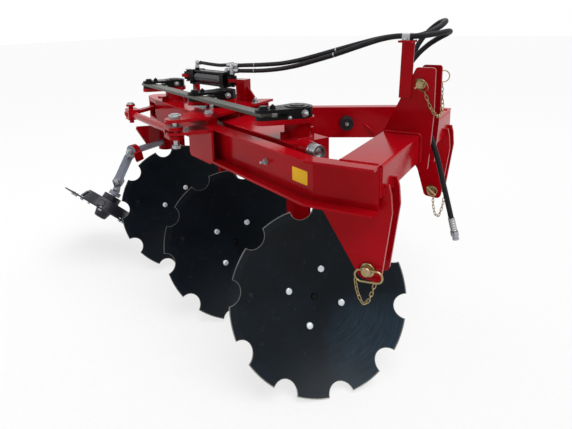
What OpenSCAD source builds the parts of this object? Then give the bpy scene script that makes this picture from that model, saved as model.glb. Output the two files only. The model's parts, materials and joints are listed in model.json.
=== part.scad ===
// Reversible disc plough for a three-point hitch, in millimetres.
// Origin: midway between the two lower hitch pins. +X points to the tractor, +Y to the left, +Z up.

/* [Hitch] */
// Distance from the middle to the middle of each lower hitch clevis
clevis_y = 434; // [420:1:450]
// Clear gap between the two plates of a clevis or of the mast
clevis_gap = 76; // [70:1:90]
// Thickness of the hitch plates and mast plates
plate_t = 12; // [10:1:14]
// Radius of the lower hitch pins
lower_pin_r = 14.3; // [11:0.1:18]
// Height of the top link pin above the lower pins
mast_pin_z = 551; // [520:1:580]
// Distance of the top link pin in front of the lower pins
mast_pin_x = 39; // [30:1:50]
// Radius of the top link pin
top_pin_r = 12.7; // [9:0.1:16]
// Clear gap between the two mast plates
mast_gap = 96; // [80:1:110]

/* [Frame] */
// Half width over the outer faces of the channel webs at the front
web_y = 507; // [500:1:520]
// Height of the frame's top face above the lower pins
frame_top = 360; // [355:1:370]
// Height of the side channels
channel_h = 154; // [145:1:165]
// Width of the channel flanges
flange_w = 49; // [40:1:60]
// Thickness of the channel web
web_t = 7; // [5:1:9]
// Thickness of the channel flanges
flange_t = 9; // [6:1:12]
// Front end of the channels
channel_front = 36; // [30:1:45]
// Place of the bend in the channels
bend_x = -185; // [-195:1:-175]
// Length of the tapered part of the channels
taper_len = 835; // [820:1:840]
// Depth of the front cross beam, front to back
cross_d = 148; // [130:1:155]
// Height of the front cross beam
cross_h = 107; // [95:1:115]
// Thickness of the bridge plates that carry the main pivot
bridge_t = 12; // [10:1:14]
// Radius of the rubber buffers
buffer_r = 35; // [28:1:40]
// Length of the rubber buffers
buffer_len = 53; // [45:1:54]

/* [Beam] */
// Distance of the main pivot behind the lower pins
pivot_x = -894; // [-900:1:-888]
// Angle of the beam to the direction of travel
beam_angle = 25.6; // [24:0.1:27]
// Width of the beam
beam_w = 170; // [150:1:172]
// Height of the beam
beam_h = 142; // [130:1:144]
// Distance between neighbouring disc columns along the beam
spacing = 578; // [560:1:600]
// Outer radius of the column housings
housing_r = 51; // [48:0.5:56]
// Radius of the column spindles
spindle_r = 40; // [34:0.5:42]
// Distance of the wheel carrier's pivot behind the rear column
carrier_back = 170; // [165:1:180]

/* [Discs] */
// Radius of a disc
disc_r = 330; // [310:1:335]
// Depth of the dish
dish = 85; // [70:1:95]
// Thickness of a disc
disc_t = 6; // [5:0.5:8]
// Angle of the disc faces to the direction of travel
disc_angle = 45.9; // [42:0.1:48]
// Tilt of the disc faces to the vertical
disc_tilt = 21.6; // [18:0.1:24]
// Reach of the disc's middle from its column
disc_reach = 194; // [190:1:205]
// Height of the disc's middle, below the lower pins
disc_z = -215; // [-225:1:-205]
// Number of notches in the rim
notches = 10; // [8:1:12]
// Radius of a notch
notch_r = 45; // [35:1:50]
// Circle of the disc bolts
bolt_circle_r = 104; // [90:1:110]

/* [Steering levers] */
// Length of a column lever
lever_len = 141; // [135:1:150]
// Direction of the column levers, seen from above
lever_angle = 235.5; // [230:0.5:240]
// Width of the tie bar
tie_w = 50; // [40:1:56]
// Thickness of the tie bar
tie_t = 13; // [10:1:13]

/* [Cylinder] */
// Height of the cylinder's axis
cyl_z = 500; // [498:1:505]
// Length between the cylinder's pins, closed
cyl_len = 395; // [390:1:400]
// Radius of the barrel
barrel_r = 36; // [30:1:38]
// Radius of the piston rod
rod_r = 16; // [12:1:18]
// Travel of the piston rod
cyl_stroke = 131; // [131:1:150]

/* [Furrow wheel] */
// Radius of the wheel's thin flange
wheel_r = 245; // [220:1:248]
// Radius of the wheel's drum
drum_r = 155; // [130:1:165]
// Height of the wheel's drum
drum_h = 58; // [45:1:60]

/* [Hidden] */
$fn = 64;
run_fit = 0.05;
seat_gap = 0.3;
top_fillet = 6;

channel_bot = frame_top - channel_h;
theta = beam_angle;
half_bend = tan(theta / 2);
pivot = [pivot_x, 0, 0];
along = [cos(beam_angle), -sin(beam_angle), 0];
beam_bot = channel_bot + 6;
beam_top = beam_bot + beam_h;
bridge_low = frame_top + 26;
bridge_top_z = bridge_low + bridge_t;
stations = [spacing, 0, -spacing];
beam_front = spacing + 85;
beam_rear = -spacing - 85;
end_boss_r = 33;
end_boss_len = 60;
end_y = -43;
end_z = beam_top - 20;

flange_low = bridge_top_z + 18;
housing_top = flange_low - seat_gap;
housing_low = channel_bot - bridge_t - 4;
col_plate_t = 18;
lever_low = flange_low + col_plate_t;
lever_t = 12;
fork_gap = tie_t + 2;
lever_h = 2 * lever_t + fork_gap;
lever_hub_r = 58;
lever_eye_r = 32;
fork_from = lever_hub_r + 4;
tie_pin_r = 12;

sphere_r = (disc_r * disc_r + dish * dish) / (2 * dish);
hub_shaft_r = 30;
hub_r = 62;
hub_flange_r = 128;
hub_bolt_r = 7.7;
first_bolt = 70.8;
first_notch = 5.9;
disc_turns = [0, -15.2, 9.7];
bolt_lean = asin(bolt_circle_r / sphere_r);

link_pin = [-900, -343];
link_eye = [-1537, 25];
link_pin_r = 12;
link_open_r = 22;
link_z = 322;
link_ear_t = 12;

cyl_angle = 163;
cyl_pin_r = 9.5;
cyl_eye = [pivot_x - spacing * along[0] + 97.519, -spacing * along[1] + 10.741];
cyl_base = cyl_eye - cyl_len * [cos(cyl_angle), sin(cyl_angle)];
cyl_open_r = 27;
cyl_eye_t = 16;

carrier = pivot + (-spacing - carrier_back) * along;
carrier_pin_r = 34;
carrier_boss_r = 55;
fork_t = 26;
fork_len = 130;
shaft_r = 19;
shaft_z = 85;
shaft_len = 291;
arm_top = [-1640, 77, 34];
arm_low = [-1660, 0, -92];
wheel_mid = [-1704, -86, -247];
wheel_axis = [0.195, 0.655, 0.730];
wheel_lean = acos(wheel_axis[2]);
wheel_turn = atan2(wheel_axis[1], wheel_axis[0]);
axle_r = 16;
axle_len = 128;

hose_r = 10;
hose_sides = 10;
hose_start = cyl_base[0] + 13.5;
clamp_z = 724;
// Route of the feed hose, from the cylinder's swivel over the post to its free end
feed_route = [[hose_start, 145, 574], [-900, 145, 574], [-860, 137, 577], [-780, 108, 583], [-700, 78, 590],
    [-600, 42, 601], [-500, 8, 619], [-400, -22, 643], [-300, -46, 669], [-200, -60, 695], [-110, -66, 716],
    [-45, -66, clamp_z], [16, -66, clamp_z], [54, -52, 735], [84, -14, 754], [94, 32, 770], [82, 76, 774],
    [50, 108, 762], [8, 118, 726], [-24, 100, 672], [-36, 66, 604], [-28, 34, 536], [-6, 10, 472],
    [22, 0, 422], [52, -2, 376], [78, -6, 325], [102, -10, 262], [126, -16, 180], [150, -23, 100],
    [172, -30, 25]];
// Route of the return hose, which lies beside the feed hose and ends between the mast plates
return_route = [[hose_start, 145, 548], [-900, 145, 548], [-860, 136, 550], [-780, 104, 556], [-700, 70, 564],
    [-600, 32, 578], [-500, -6, 598], [-400, -40, 624], [-300, -68, 652], [-200, -86, 684], [-110, -94, 712],
    [-45, -94, clamp_z], [16, -94, clamp_z], [56, -88, 727], [92, -68, 733], [114, -34, 738], [118, 4, 737],
    [102, 38, 728], [70, 60, 712], [30, 66, 686], [-8, 56, 648], [-38, 32, 598], [-48, 4, 545],
    [-36, -14, 492], [-28, -20, 455]];

red = [0.62, 0.02, 0.05];
black = [0.05, 0.05, 0.06];
zinc = [0.70, 0.71, 0.72];
grey = [0.42, 0.44, 0.50];
gold = [0.62, 0.52, 0.28];

// A point of the left channel in plan: dist along the taper from the bend, off outwards from the web
function taper_point(dist, off) =
    [bend_x - dist * cos(theta) - off * sin(theta), web_y - dist * sin(theta) + off * cos(theta)];

// Plan of a strip along the whole left channel between two offsets
function channel_plan(inner, outer) = [
    [channel_front, web_y + outer],
    [bend_x - outer * half_bend, web_y + outer],
    taper_point(taper_len, outer),
    taper_point(taper_len, inner),
    [bend_x - inner * half_bend, web_y + inner],
    [channel_front, web_y + inner]];

// Plan of a strip along part of the taper
function taper_plan(from, to, inner, outer) = [
    taper_point(from, outer), taper_point(to, outer), taper_point(to, inner), taper_point(from, inner)];

module slab(low, high) {
    translate([0, 0, low]) linear_extrude(high - low) children();
}

module rounded_square(w, h, r) {
    square([w - 2 * r, h], center = true);
    square([w, h - 2 * r], center = true);
    for (sx = [-1, 1], sy = [-1, 1])
        translate([sx * (w / 2 - r), sy * (h / 2 - r)]) circle(r);
}

// A round bar along Y between two places
module bar_y(x, z, r, from, to) {
    translate([x, from, z]) rotate([-90, 0, 0]) cylinder(r = r, h = to - from);
}

// A plate in the XZ plane, from one y to another
module plate_xz(from, to) {
    translate([0, to, 0]) rotate([90, 0, 0]) linear_extrude(to - from) children();
}

module at_beam() {
    translate(pivot) rotate([0, 0, -beam_angle]) children();
}

module at_column(i) {
    translate(pivot + stations[i] * along) rotate([0, 0, -disc_angle]) children();
}

// Local +Z points along the disc's axis, to its hollow face
module at_disc(i) {
    at_column(i) translate([disc_reach, 0, disc_z]) rotate([0, 90 - disc_tilt, 0])
        rotate([0, 0, disc_turns[i]]) children();
}

module at_wheel() {
    translate(wheel_mid) rotate([0, 0, wheel_turn]) rotate([0, wheel_lean, 0]) children();
}

// Left side channel: web, two flanges and the boxed rear end
box_from = 612;
beam_clear = 15;
module channel_body() {
    difference() {
        slab(channel_bot, frame_top) polygon(channel_plan(-web_t, flange_w));
        for (side = [0, 1]) mirror([0, side, 0]) at_beam()
            translate([beam_rear - beam_clear, -beam_w / 2 - beam_clear, beam_bot - beam_clear])
                cube([beam_front - beam_rear + 2 * beam_clear, beam_w + 2 * beam_clear, beam_h + 2 * beam_clear]);
        slab(channel_bot + flange_t, frame_top - flange_t) polygon([
            [channel_front + 1, web_y + flange_w + 1],
            [bend_x - (flange_w + 1) * half_bend, web_y + flange_w + 1],
            taper_point(box_from, flange_w + 1), taper_point(box_from, flange_w - web_t),
            taper_point(taper_len + 1, flange_w - web_t), taper_point(taper_len + 1, 0),
            [bend_x, web_y], [channel_front + 1, web_y]]);
    }
}

module channel_left() {
    color(red) channel_body();
}

// The right channel also carries the lower ear of the steering link
ear_r = 40;
ear_low = link_z + 8;
module channel_right() {
    color(red) difference() {
        union() {
            mirror([0, 1, 0]) channel_body();
            difference() {
                slab(ear_low, ear_low + link_ear_t) hull() {
                    translate(link_pin) circle(ear_r, $fn = 32);
                    translate([-905, -215]) circle(8, $fn = 16);
                    translate([-790, -270]) circle(8, $fn = 16);
                }
                mirror([0, 1, 0]) slab(channel_bot, frame_top)
                    polygon(taper_plan(0, taper_len + 200, -400, flange_w - web_t));
            }
        }
        translate([link_pin[0], link_pin[1], 0]) cylinder(r = link_pin_r + seat_gap, h = frame_top);
    }
}

module cross_beam() {
    color(red) translate([channel_front + 9 - cross_d / 2, 0, frame_top - cross_h / 2])
        rotate([90, 0, 0]) linear_extrude(2 * (web_y - web_t), center = true)
            rounded_square(cross_d, cross_h, 8);
}

// Plan of the bridge between the two tapered channels, set by the main pivot's place along them
pivot_dist = (bend_x - pivot_x) / cos(theta);
bridge_from = pivot_dist - 146;
bridge_to = pivot_dist + 48.5;
module bridge_plan() {
    polygon([taper_point(bridge_from, flange_w - 4), taper_point(bridge_to, flange_w - 4),
        for (p = [taper_point(bridge_to, flange_w - 4), taper_point(bridge_from, flange_w - 4)]) [p[0], -p[1]]]);
}

module bridge_top() {
    color(red) difference() {
        union() {
            slab(bridge_low, bridge_top_z) {
                bridge_plan();
                hull() {
                    translate(link_pin) circle(ear_r + 3, $fn = 32);
                    translate([-918, -150]) circle(20, $fn = 16);
                    translate([-800, -235]) circle(20, $fn = 16);
                }
            }
            for (side = [0, 1]) mirror([0, side, 0])
                slab(frame_top, bridge_low) polygon(taper_plan(bridge_from + 20, bridge_to - 10, -web_t, flange_w - 12));
        }
        translate([pivot_x, 0, 0]) cylinder(r = housing_r + run_fit, h = 600);
        translate([link_pin[0], link_pin[1], 0]) cylinder(r = link_pin_r + seat_gap, h = 600);
    }
}

module bridge_bottom() {
    color(red) difference() {
        slab(channel_bot - bridge_t, channel_bot) bridge_plan();
        translate([pivot_x, 0, 0]) cylinder(r = housing_r + run_fit, h = 600);
    }
}

// Mast plate seen from the side: it stands on the cross beam and hooks over its front
cross_front = channel_front + 9;
module mast_outline() {
    difference() {
        hull() {
            translate([78, 600]) circle(11);
            translate([27, 600]) circle(11);
            translate([72, 440]) circle(18);
            translate([-96, frame_top]) square([4, 4]);
            translate([66, 340]) circle(18);
        }
        translate([-200, frame_top - 200]) square([200 + cross_front, 200]);
    }
    hull() {
        translate([66, 340]) circle(18);
        translate([cross_front, frame_top - 20]) square([4, 20]);
        translate([cross_front, 222]) square([4, 10]);
        translate([cross_front + 18, 236]) circle(14);
    }
}

mast_y = mast_gap / 2;
module mast() {
    color(red) difference() {
        for (side = [0, 1]) mirror([0, side, 0])
            plate_xz(mast_y, mast_y + plate_t) mast_outline();
        bar_y(mast_pin_x, mast_pin_z, top_pin_r + seat_gap, -200, 200);
    }
}

// Hitch plates seen from the side, under the cross beam and along its front face
module hitch_outline(rear) {
    difference() {
        union() {
            hull() {
                translate([24, -20]) circle(20);
                translate([-16, -16]) circle(20);
                translate([rear, channel_bot - 8]) square([6, 8]);
                translate([rear, channel_bot]) square([cross_front - rear + 20, 1]);
                translate([50, 205]) circle(22);
            }
            hull() {
                translate([50, 205]) circle(22);
                translate([cross_front, 205]) square([4, 60]);
                translate([cross_front, 292]) square([14, 2]);
                translate([cross_front + 10, 262]) circle(12);
            }
            translate([-95, channel_bot]) square([95 + cross_front, frame_top - cross_h - channel_bot]);
        }
        translate([-300, frame_top - cross_h]) square([300 + cross_front, 300]);
    }
}

inner_y = clevis_y - clevis_gap / 2;
outer_y = clevis_y + clevis_gap / 2;
module hitch_pair() {
    difference() {
        union() {
            plate_xz(inner_y - plate_t, inner_y) hitch_outline(-100);
            plate_xz(outer_y, outer_y + plate_t) hitch_outline(-175);
        }
        bar_y(0, 0, lower_pin_r + seat_gap, 0, 700);
    }
}

module hitch_plates_left() {
    color(red) hitch_pair();
}

module hitch_plates_right() {
    color(red) mirror([0, 1, 0]) hitch_pair();
}

// Headed pin through a clevis, with the cross hole side beyond the far plate
pin_head_t = 10;
module clevis_pin(x, z, r, from, to) {
    bar_y(x, z, r, from - 26, to);
    bar_y(x, z, r + 6, to, to + pin_head_t);
}

module lower_pin_left() {
    color(gold) mirror([0, 1, 0])
        clevis_pin(0, 0, lower_pin_r, -outer_y - plate_t, -inner_y + plate_t + seat_gap);
}

module lower_pin_right() {
    color(gold) clevis_pin(0, 0, lower_pin_r, -outer_y - plate_t, -inner_y + plate_t + seat_gap);
}

module top_pin() {
    color(gold) clevis_pin(mast_pin_x, mast_pin_z, top_pin_r, -mast_y - plate_t, mast_y + plate_t + seat_gap);
}

// Bent strip bolted beside the mast, with a shelf for the hoses
post_w = 44;
post_t = 8;
post_top = 702;
post_low = 497;
shelf_w = 60;
module hose_post() {
    color(red) {
        plate_xz(-mast_y - plate_t - post_t, -mast_y - plate_t)
            polygon([[-40, post_low], [4, post_low], [12, post_top], [-34, post_top]]);
        translate([-36, -mast_y - plate_t - post_t - 46, post_top]) cube([shelf_w - 10, shelf_w + 10, post_t]);
    }
}

// Saddle that holds both hoses on the post's shelf
module hose_clamp() {
    color(zinc) difference() {
        translate([-26, -112, post_top + post_t]) cube([30, 64, 28]);
        for (y = [-66, -94])
            translate([-60, y, clamp_z]) rotate([0, 90, 0]) cylinder(r = hose_r + 0.5, h = 120);
    }
}

// Rubber buffers inside the channel webs, against which the beam stops
buffer_at = 272;
module buffer() {
    seat = taper_point(buffer_at, -web_t);
    translate([seat[0], seat[1], (frame_top + channel_bot) / 2]) rotate([0, 0, 180 + theta])
        rotate([-90, 0, 0]) difference() {
            cylinder(r1 = buffer_r, r2 = buffer_r - 4, h = buffer_len);
            translate([0, 0, buffer_len - 14]) cylinder(r = 13, h = 20);
        }
}

module buffer_left() {
    color(black) buffer();
}

module buffer_right() {
    color(black) mirror([0, 1, 0]) buffer();
}

// Bracket on the bridge for the cylinder's base pin
bracket_near = cyl_base[0] + 38;
bracket_len = 50;
module cylinder_bracket() {
    eye_low = cyl_z - cyl_eye_t / 2;
    color(red) difference() {
        union() {
            translate([bracket_near, cyl_base[1] - 28, bridge_top_z])
                cube([bracket_len, 56, eye_low + cyl_eye_t - bridge_top_z]);
            slab(eye_low, eye_low + cyl_eye_t) hull() {
                translate(cyl_base) circle(24, $fn = 32);
                translate([bracket_near, cyl_base[1] - 28]) square([4, 56]);
            }
            plate_xz(cyl_base[1] - 6, cyl_base[1] + 6)
                polygon([[bracket_near + bracket_len, bridge_top_z], [bracket_near + bracket_len + 55, bridge_top_z],
                    [bracket_near + bracket_len + 40, bridge_top_z + 26], [bracket_near + bracket_len, eye_low - 16]]);
        }
        translate([cyl_base[0], cyl_base[1], 0]) cylinder(r = cyl_pin_r + run_fit, h = 600);
    }
}

// Bolt through both ears and the link's yoke
module link_bolt() {
    color(zinc) translate([link_pin[0], link_pin[1], 0]) {
        translate([0, 0, 276]) cylinder(r = link_pin_r, h = bridge_top_z - 276);
        translate([0, 0, bridge_top_z]) cylinder(r = 21, h = 13, $fn = 6);
        translate([0, 0, 270]) cylinder(r = 20, h = 14, $fn = 6);
    }
}

// A round tube swept along hand-set points
function unit(v) = v / norm(v);
function ring(mid, dir, r) = let (
    side = unit(cross(dir, abs(dir[2]) > 0.9 ? [0, 1, 0] : [0, 0, 1])),
    up = cross(side, dir))
    [for (k = [0:hose_sides - 1]) mid + r * (cos(360 * k / hose_sides) * side + sin(360 * k / hose_sides) * up)];

module hose(route, r) {
    n = len(route) - 1;
    dirs = [for (i = [0:n]) unit(route[min(i + 1, n)] - route[max(i - 1, 0)])];
    points = [for (i = [0:n]) each ring(route[i], dirs[i], r)];
    sides = [for (i = [0:n - 1], k = [0:hose_sides - 1]) let (k2 = (k + 1) % hose_sides)
        each [[i * hose_sides + k, i * hose_sides + k2, (i + 1) * hose_sides + k2],
            [i * hose_sides + k, (i + 1) * hose_sides + k2, (i + 1) * hose_sides + k]]];
    caps = [[for (k = [hose_sides - 1:-1:0]) k], [for (k = [0:hose_sides - 1]) n * hose_sides + k]];
    polyhedron(points, concat(sides, caps));
}

module feed_hose() {
    color(black) hose(feed_route, hose_r);
}

module return_hose() {
    color(black) hose(return_route, hose_r);
}

// Quick coupling at a hose's free end: ferrule, hexagon and plug
module coupling(route) {
    n = len(route) - 1;
    dir = unit(route[n] - route[n - 1]);
    translate(route[n] + seat_gap * dir) rotate([0, acos(dir[2]), atan2(dir[1], dir[0])]) {
        cylinder(r = 13, h = 34);
        translate([0, 0, 34]) cylinder(r = 17, h = 16, $fn = 6);
        translate([0, 0, 50]) cylinder(r = 13, h = 20);
    }
}

module feed_coupling() {
    color(zinc) coupling(feed_route);
}

module return_coupling() {
    color(zinc) coupling(return_route);
}

// Swinging beam: box section with three through housings for the disc columns
module beam() {
    color(red) at_beam() difference() {
        union() {
            translate([(beam_front + beam_rear) / 2, 0, (beam_bot + beam_top) / 2]) rotate([90, 0, 90])
                linear_extrude(beam_front - beam_rear, center = true) rounded_square(beam_w, beam_h, top_fillet);
            for (x = stations) translate([x, 0, housing_low]) cylinder(r = housing_r, h = housing_top - housing_low);
            slab(beam_top - 2, bridge_low - seat_gap) circle(80);
            slab(channel_bot + seat_gap, beam_bot + 2) circle(80);
            translate([beam_front - 2, end_y, end_z]) bar_x(end_boss_r, 0, end_boss_len + 2);
            for (x = [stations[0], stations[2]], side = [-1, 1])
                translate([x, side * (housing_r + 12), beam_top - 2]) cube([10, 30, 60], center = true);
        }
        for (x = stations) translate([x, 0, 0]) cylinder(r = spindle_r + run_fit, h = 600);
    }
}

// Fork at the beam's rear end that holds the wheel carrier
nose_back = 74;
module beam_nose() {
    color(red) at_beam() difference() {
        union() {
            for (low = [beam_bot, beam_top - fork_t]) slab(low, low + fork_t) hull() {
                translate([-spacing - carrier_back - nose_back, 0]) circle(carrier_boss_r + 7, $fn = 48);
                translate([beam_rear - 10, -beam_w / 2 + top_fillet]) square([10, beam_w - 2 * top_fillet]);
            }
            translate([-spacing - carrier_back - nose_back, 0, beam_bot + fork_t - 1])
                linear_extrude(beam_h - 2 * fork_t + 2) difference() {
                    circle(carrier_boss_r + 6, $fn = 48);
                    circle(carrier_boss_r - 6, $fn = 48);
                    translate([0, -2 * carrier_boss_r]) square(4 * carrier_boss_r);
                }
            translate([beam_rear - 10, -beam_w / 2 + top_fillet, beam_bot + fork_t - 1])
                cube([10, beam_w - 2 * top_fillet, beam_h - 2 * fork_t + 2]);
        }
        translate([-spacing - carrier_back, 0, 0]) cylinder(r = carrier_pin_r + run_fit, h = 600);
    }
}

// Bright ring and cap on the boss at the beam's front end
ring_r = 28;
module beam_end_ring() {
    color(zinc) at_beam() translate([beam_front + end_boss_len, end_y, end_z]) rotate([0, 90, 0]) {
        cylinder(r = ring_r + 3, h = 10);
        translate([0, 0, 10]) difference() {
            cylinder(r = ring_r, h = 30);
            translate([0, 0, 20]) cylinder(r = ring_r - 7, h = 20);
        }
    }
}

// Arm on the beam's left edge that the piston rod pushes
module cylinder_arm() {
    eye_low = cyl_z - cyl_eye_t / 2;
    local = [cos(beam_angle) * (cyl_eye[0] - pivot_x) - sin(beam_angle) * cyl_eye[1],
        sin(beam_angle) * (cyl_eye[0] - pivot_x) + cos(beam_angle) * cyl_eye[1]];
    post_y = local[1] + 46;
    post_from = local[0] - 46;
    post_len = 54;
    foot_y = 44;
    color(red) at_beam() difference() {
        union() {
            translate([post_from, foot_y, beam_top]) cube([post_len, post_y + 18 - foot_y, 14]);
            translate([post_from, post_y, beam_top]) cube([post_len, 18, eye_low + cyl_eye_t - beam_top]);
            slab(eye_low, eye_low + cyl_eye_t) hull() {
                translate(local) circle(cyl_open_r + 9, $fn = 40);
                translate([post_from, post_y]) square([post_len, 4]);
            }
        }
        translate([local[0], local[1], cyl_z - 60]) cylinder(r = cyl_open_r, h = 120);
    }
}

// Plan of a lever between its column and its pin, in column coordinates
module lever_plan(hub, eye) {
    turn = lever_angle + disc_angle;
    hull() {
        circle(hub, $fn = 48);
        translate(lever_len * [cos(turn), sin(turn)]) circle(eye, $fn = 32);
    }
}

// Disc column: top plate, spindle, leg and the tilted bearing housing of the disc
module column(i) {
    stub_r = 27;
    color(red) at_column(i) difference() {
        union() {
            slab(flange_low, lever_low) lever_plan(lever_hub_r + 6, lever_eye_r + 2);
            translate([0, 0, housing_low - 20]) cylinder(r = spindle_r, h = flange_low - housing_low + 20);
            translate([0, 0, lever_low]) cylinder(r = stub_r, h = lever_h + 3);
            translate([0, 0, housing_low - 30]) cylinder(r = 56, h = 30 - seat_gap);
            plate_xz(-36, 36) polygon([[-45, housing_low - 12], [45, housing_low - 12], [45, -135], [74, -200],
                [74, -290], [20, -335], [-12, -322], [-45, -215]]);
            translate([disc_reach, 0, disc_z]) rotate([0, 90 - disc_tilt, 0])
                translate([0, 0, -165]) cylinder(r = hub_r, h = 165 - 34);
        }
        translate([disc_reach, 0, disc_z]) rotate([0, 90 - disc_tilt, 0])
            translate([0, 0, -140]) cylinder(r = hub_shaft_r + run_fit, h = 300);
    }
}

module column_front() { column(0); }
module column_middle() { column(1); }
module column_rear() { column(2); }

// Clamp lever on top of a column: split hub and a fork for the tie bar
module lever(i) {
    turn = lever_angle + disc_angle;
    color(black) at_column(i) {
        difference() {
            slab(lever_low, lever_low + lever_h) lever_plan(lever_hub_r, lever_eye_r);
            rotate([0, 0, turn]) translate([fork_from, -lever_hub_r, lever_low + lever_t])
                cube([lever_len, 2 * lever_hub_r, fork_gap]);
            cylinder(r = 27 + seat_gap, h = 600);
            rotate([0, 0, turn]) translate([0, -2, lever_low - 1]) cube([74, 4, 60]);
        }
        rotate([0, 0, turn]) translate([lever_len, 0, lever_low + 1]) cylinder(r = tie_pin_r, h = lever_h + 8);
    }
}

module lever_front() { lever(0); }
module lever_middle() { lever(1); }
module lever_rear() { lever(2); }

// Flat bar that turns the three columns together
tie_over = 44;
module tie_bar() {
    shift = lever_len * [cos(lever_angle), sin(lever_angle), 0];
    low = lever_low + lever_t + 1;
    color(grey) translate(pivot + shift) rotate([0, 0, -beam_angle]) difference() {
        translate([-spacing - tie_over, -tie_w / 2, low]) cube([2 * spacing + tie_over + 20, tie_w, tie_t]);
        for (x = stations) translate([x, 0, 0]) cylinder(r = tie_pin_r + run_fit, h = 600);
    }
}

// Turning hub of a disc: shaft in the column's housing and a flange that seats the disc
module hub(i) {
    color(black) at_disc(i) difference() {
        union() {
            translate([0, 0, -138]) cylinder(r = hub_shaft_r, h = 138);
            translate([0, 0, -34 + seat_gap]) cylinder(r = hub_flange_r, h = 34);
        }
        translate([0, 0, sphere_r]) sphere(r = sphere_r + disc_t + seat_gap, $fn = 96);
    }
    color(zinc) at_disc(i) {
        at_bolts() {
            translate([0, 0, -disc_t]) cylinder(r = hub_bolt_r, h = disc_t + 1);
            translate([0, 0, seat_gap]) cylinder(r = 12, h = 9, $fn = 6);
        }
        translate([0, 0, -disc_t]) cylinder(r = 11, h = disc_t + 4, $fn = 6);
    }
}

// Places of the disc bolts, square to the dish, with local zero on its hollow face
module at_bolts() {
    for (k = [0:3]) translate([0, 0, sphere_r]) rotate([0, bolt_lean, first_bolt + 180 + 90 * k])
        translate([0, 0, -sphere_r]) children();
}

module hub_front() { hub(0); }
module hub_middle() { hub(1); }
module hub_rear() { hub(2); }

// Notched dish cut from a spherical shell, with its bolts and its middle hole
module disc(i) {
    pitch = 360 / notches;
    color(black) at_disc(i) difference() {
        intersection() {
            difference() {
                translate([0, 0, sphere_r]) sphere(r = sphere_r + disc_t, $fn = 96);
                translate([0, 0, sphere_r]) sphere(r = sphere_r, $fn = 96);
            }
            translate([0, 0, -20]) cylinder(r = disc_r, h = dish + 40);
        }
        for (k = [0:notches - 1]) rotate([0, 0, first_notch + k * pitch])
            translate([disc_r + 4, 0, -20]) cylinder(r = notch_r, h = dish + 60);
        translate([0, 0, -20]) cylinder(r = 13, h = 60);
        at_bolts() translate([0, 0, -20]) cylinder(r = hub_bolt_r + seat_gap, h = 40);
    }
}

module disc_front() { disc(0); }
module disc_middle() { disc(1); }
module disc_rear() { disc(2); }

// Tie-rod cylinder along local +X from its base pin
module at_cylinder() {
    translate([cyl_base[0], cyl_base[1], cyl_z]) rotate([0, 0, cyl_angle]) children();
}

cap_size = 78;
cap_from = 30;
cap_t = 30;
rod_out = 77;
barrel_end = cyl_len - rod_out;
port_boss_h = 8;
pipe_r = 9;
jaw_r = 22;
jaw_t = 12;
jaw_gap = cyl_eye_t + 2;

module bar_x(r, from, to) {
    translate([from, 0, 0]) rotate([0, 90, 0]) cylinder(r = r, h = to - from);
}

module barrel() {
    color(black) at_cylinder() difference() {
        union() {
            bar_x(barrel_r, cap_from, barrel_end);
            for (x = [cap_from, barrel_end - cap_t])
                translate([x, -cap_size / 2, -cap_size / 2]) cube([cap_t, cap_size, cap_size]);
            for (sy = [-1, 1], sz = [-1, 1])
                translate([0, sy * 31, sz * 31]) bar_x(5, cap_from - 8, barrel_end + 8);
            for (side = [-1, 1]) translate([0, 0, side * (jaw_gap + jaw_t) / 2]) {
                cylinder(r = jaw_r, h = jaw_t, center = true);
                translate([0, -jaw_r, -jaw_t / 2]) cube([cap_from + 1, 2 * jaw_r, jaw_t]);
            }
            cylinder(r = cyl_pin_r, h = jaw_gap + 2 * jaw_t + 16, center = true);
            translate([barrel_end - cap_t / 2, 0, cap_size / 2]) cylinder(r = 12, h = port_boss_h);
        }
        bar_x(rod_r + run_fit, barrel_end - cyl_stroke - 60, barrel_end + 60);
    }
}

// Elbows, swivel and the short hose on the barrel
module cylinder_ports() {
    head_x = barrel_end - cap_t / 2;
    base_x = cap_from + cap_t / 2;
    cap_top = cap_size / 2;
    color(zinc) at_cylinder() {
        translate([head_x, 0, cap_top + port_boss_h]) cylinder(r = pipe_r + 1, h = 34);
        translate([head_x, 0, cap_top + port_boss_h + 27]) rotate([0, -90, 0]) cylinder(r = pipe_r, h = head_x);
        translate([base_x, 0, cap_top]) cylinder(r = pipe_r + 1, h = 2 * pipe_r + 1);
        translate([base_x, 0, cap_top + pipe_r + 1]) rotate([0, -90, 0]) cylinder(r = pipe_r, h = base_x);
        translate([0, 0, cap_top - 4]) cylinder(r = 13, h = 54);
    }
}

module piston_rod() {
    eye_at = cyl_len;
    color(black) at_cylinder() {
        bar_x(rod_r, barrel_end - cyl_stroke - 40, eye_at - 46);
        translate([eye_at - 60, -jaw_r, -jaw_gap / 2 - jaw_t]) cube([18, 2 * jaw_r, jaw_gap + 2 * jaw_t]);
        for (side = [-1, 1]) translate([eye_at, 0, side * (jaw_gap + jaw_t) / 2]) {
            cylinder(r = jaw_r, h = jaw_t, center = true);
            translate([-48, -jaw_r, -jaw_t / 2]) cube([48, 2 * jaw_r, jaw_t]);
        }
        translate([eye_at, 0, 0]) cylinder(r = cyl_pin_r, h = jaw_gap + 2 * jaw_t + 16, center = true);
    }
}

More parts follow.
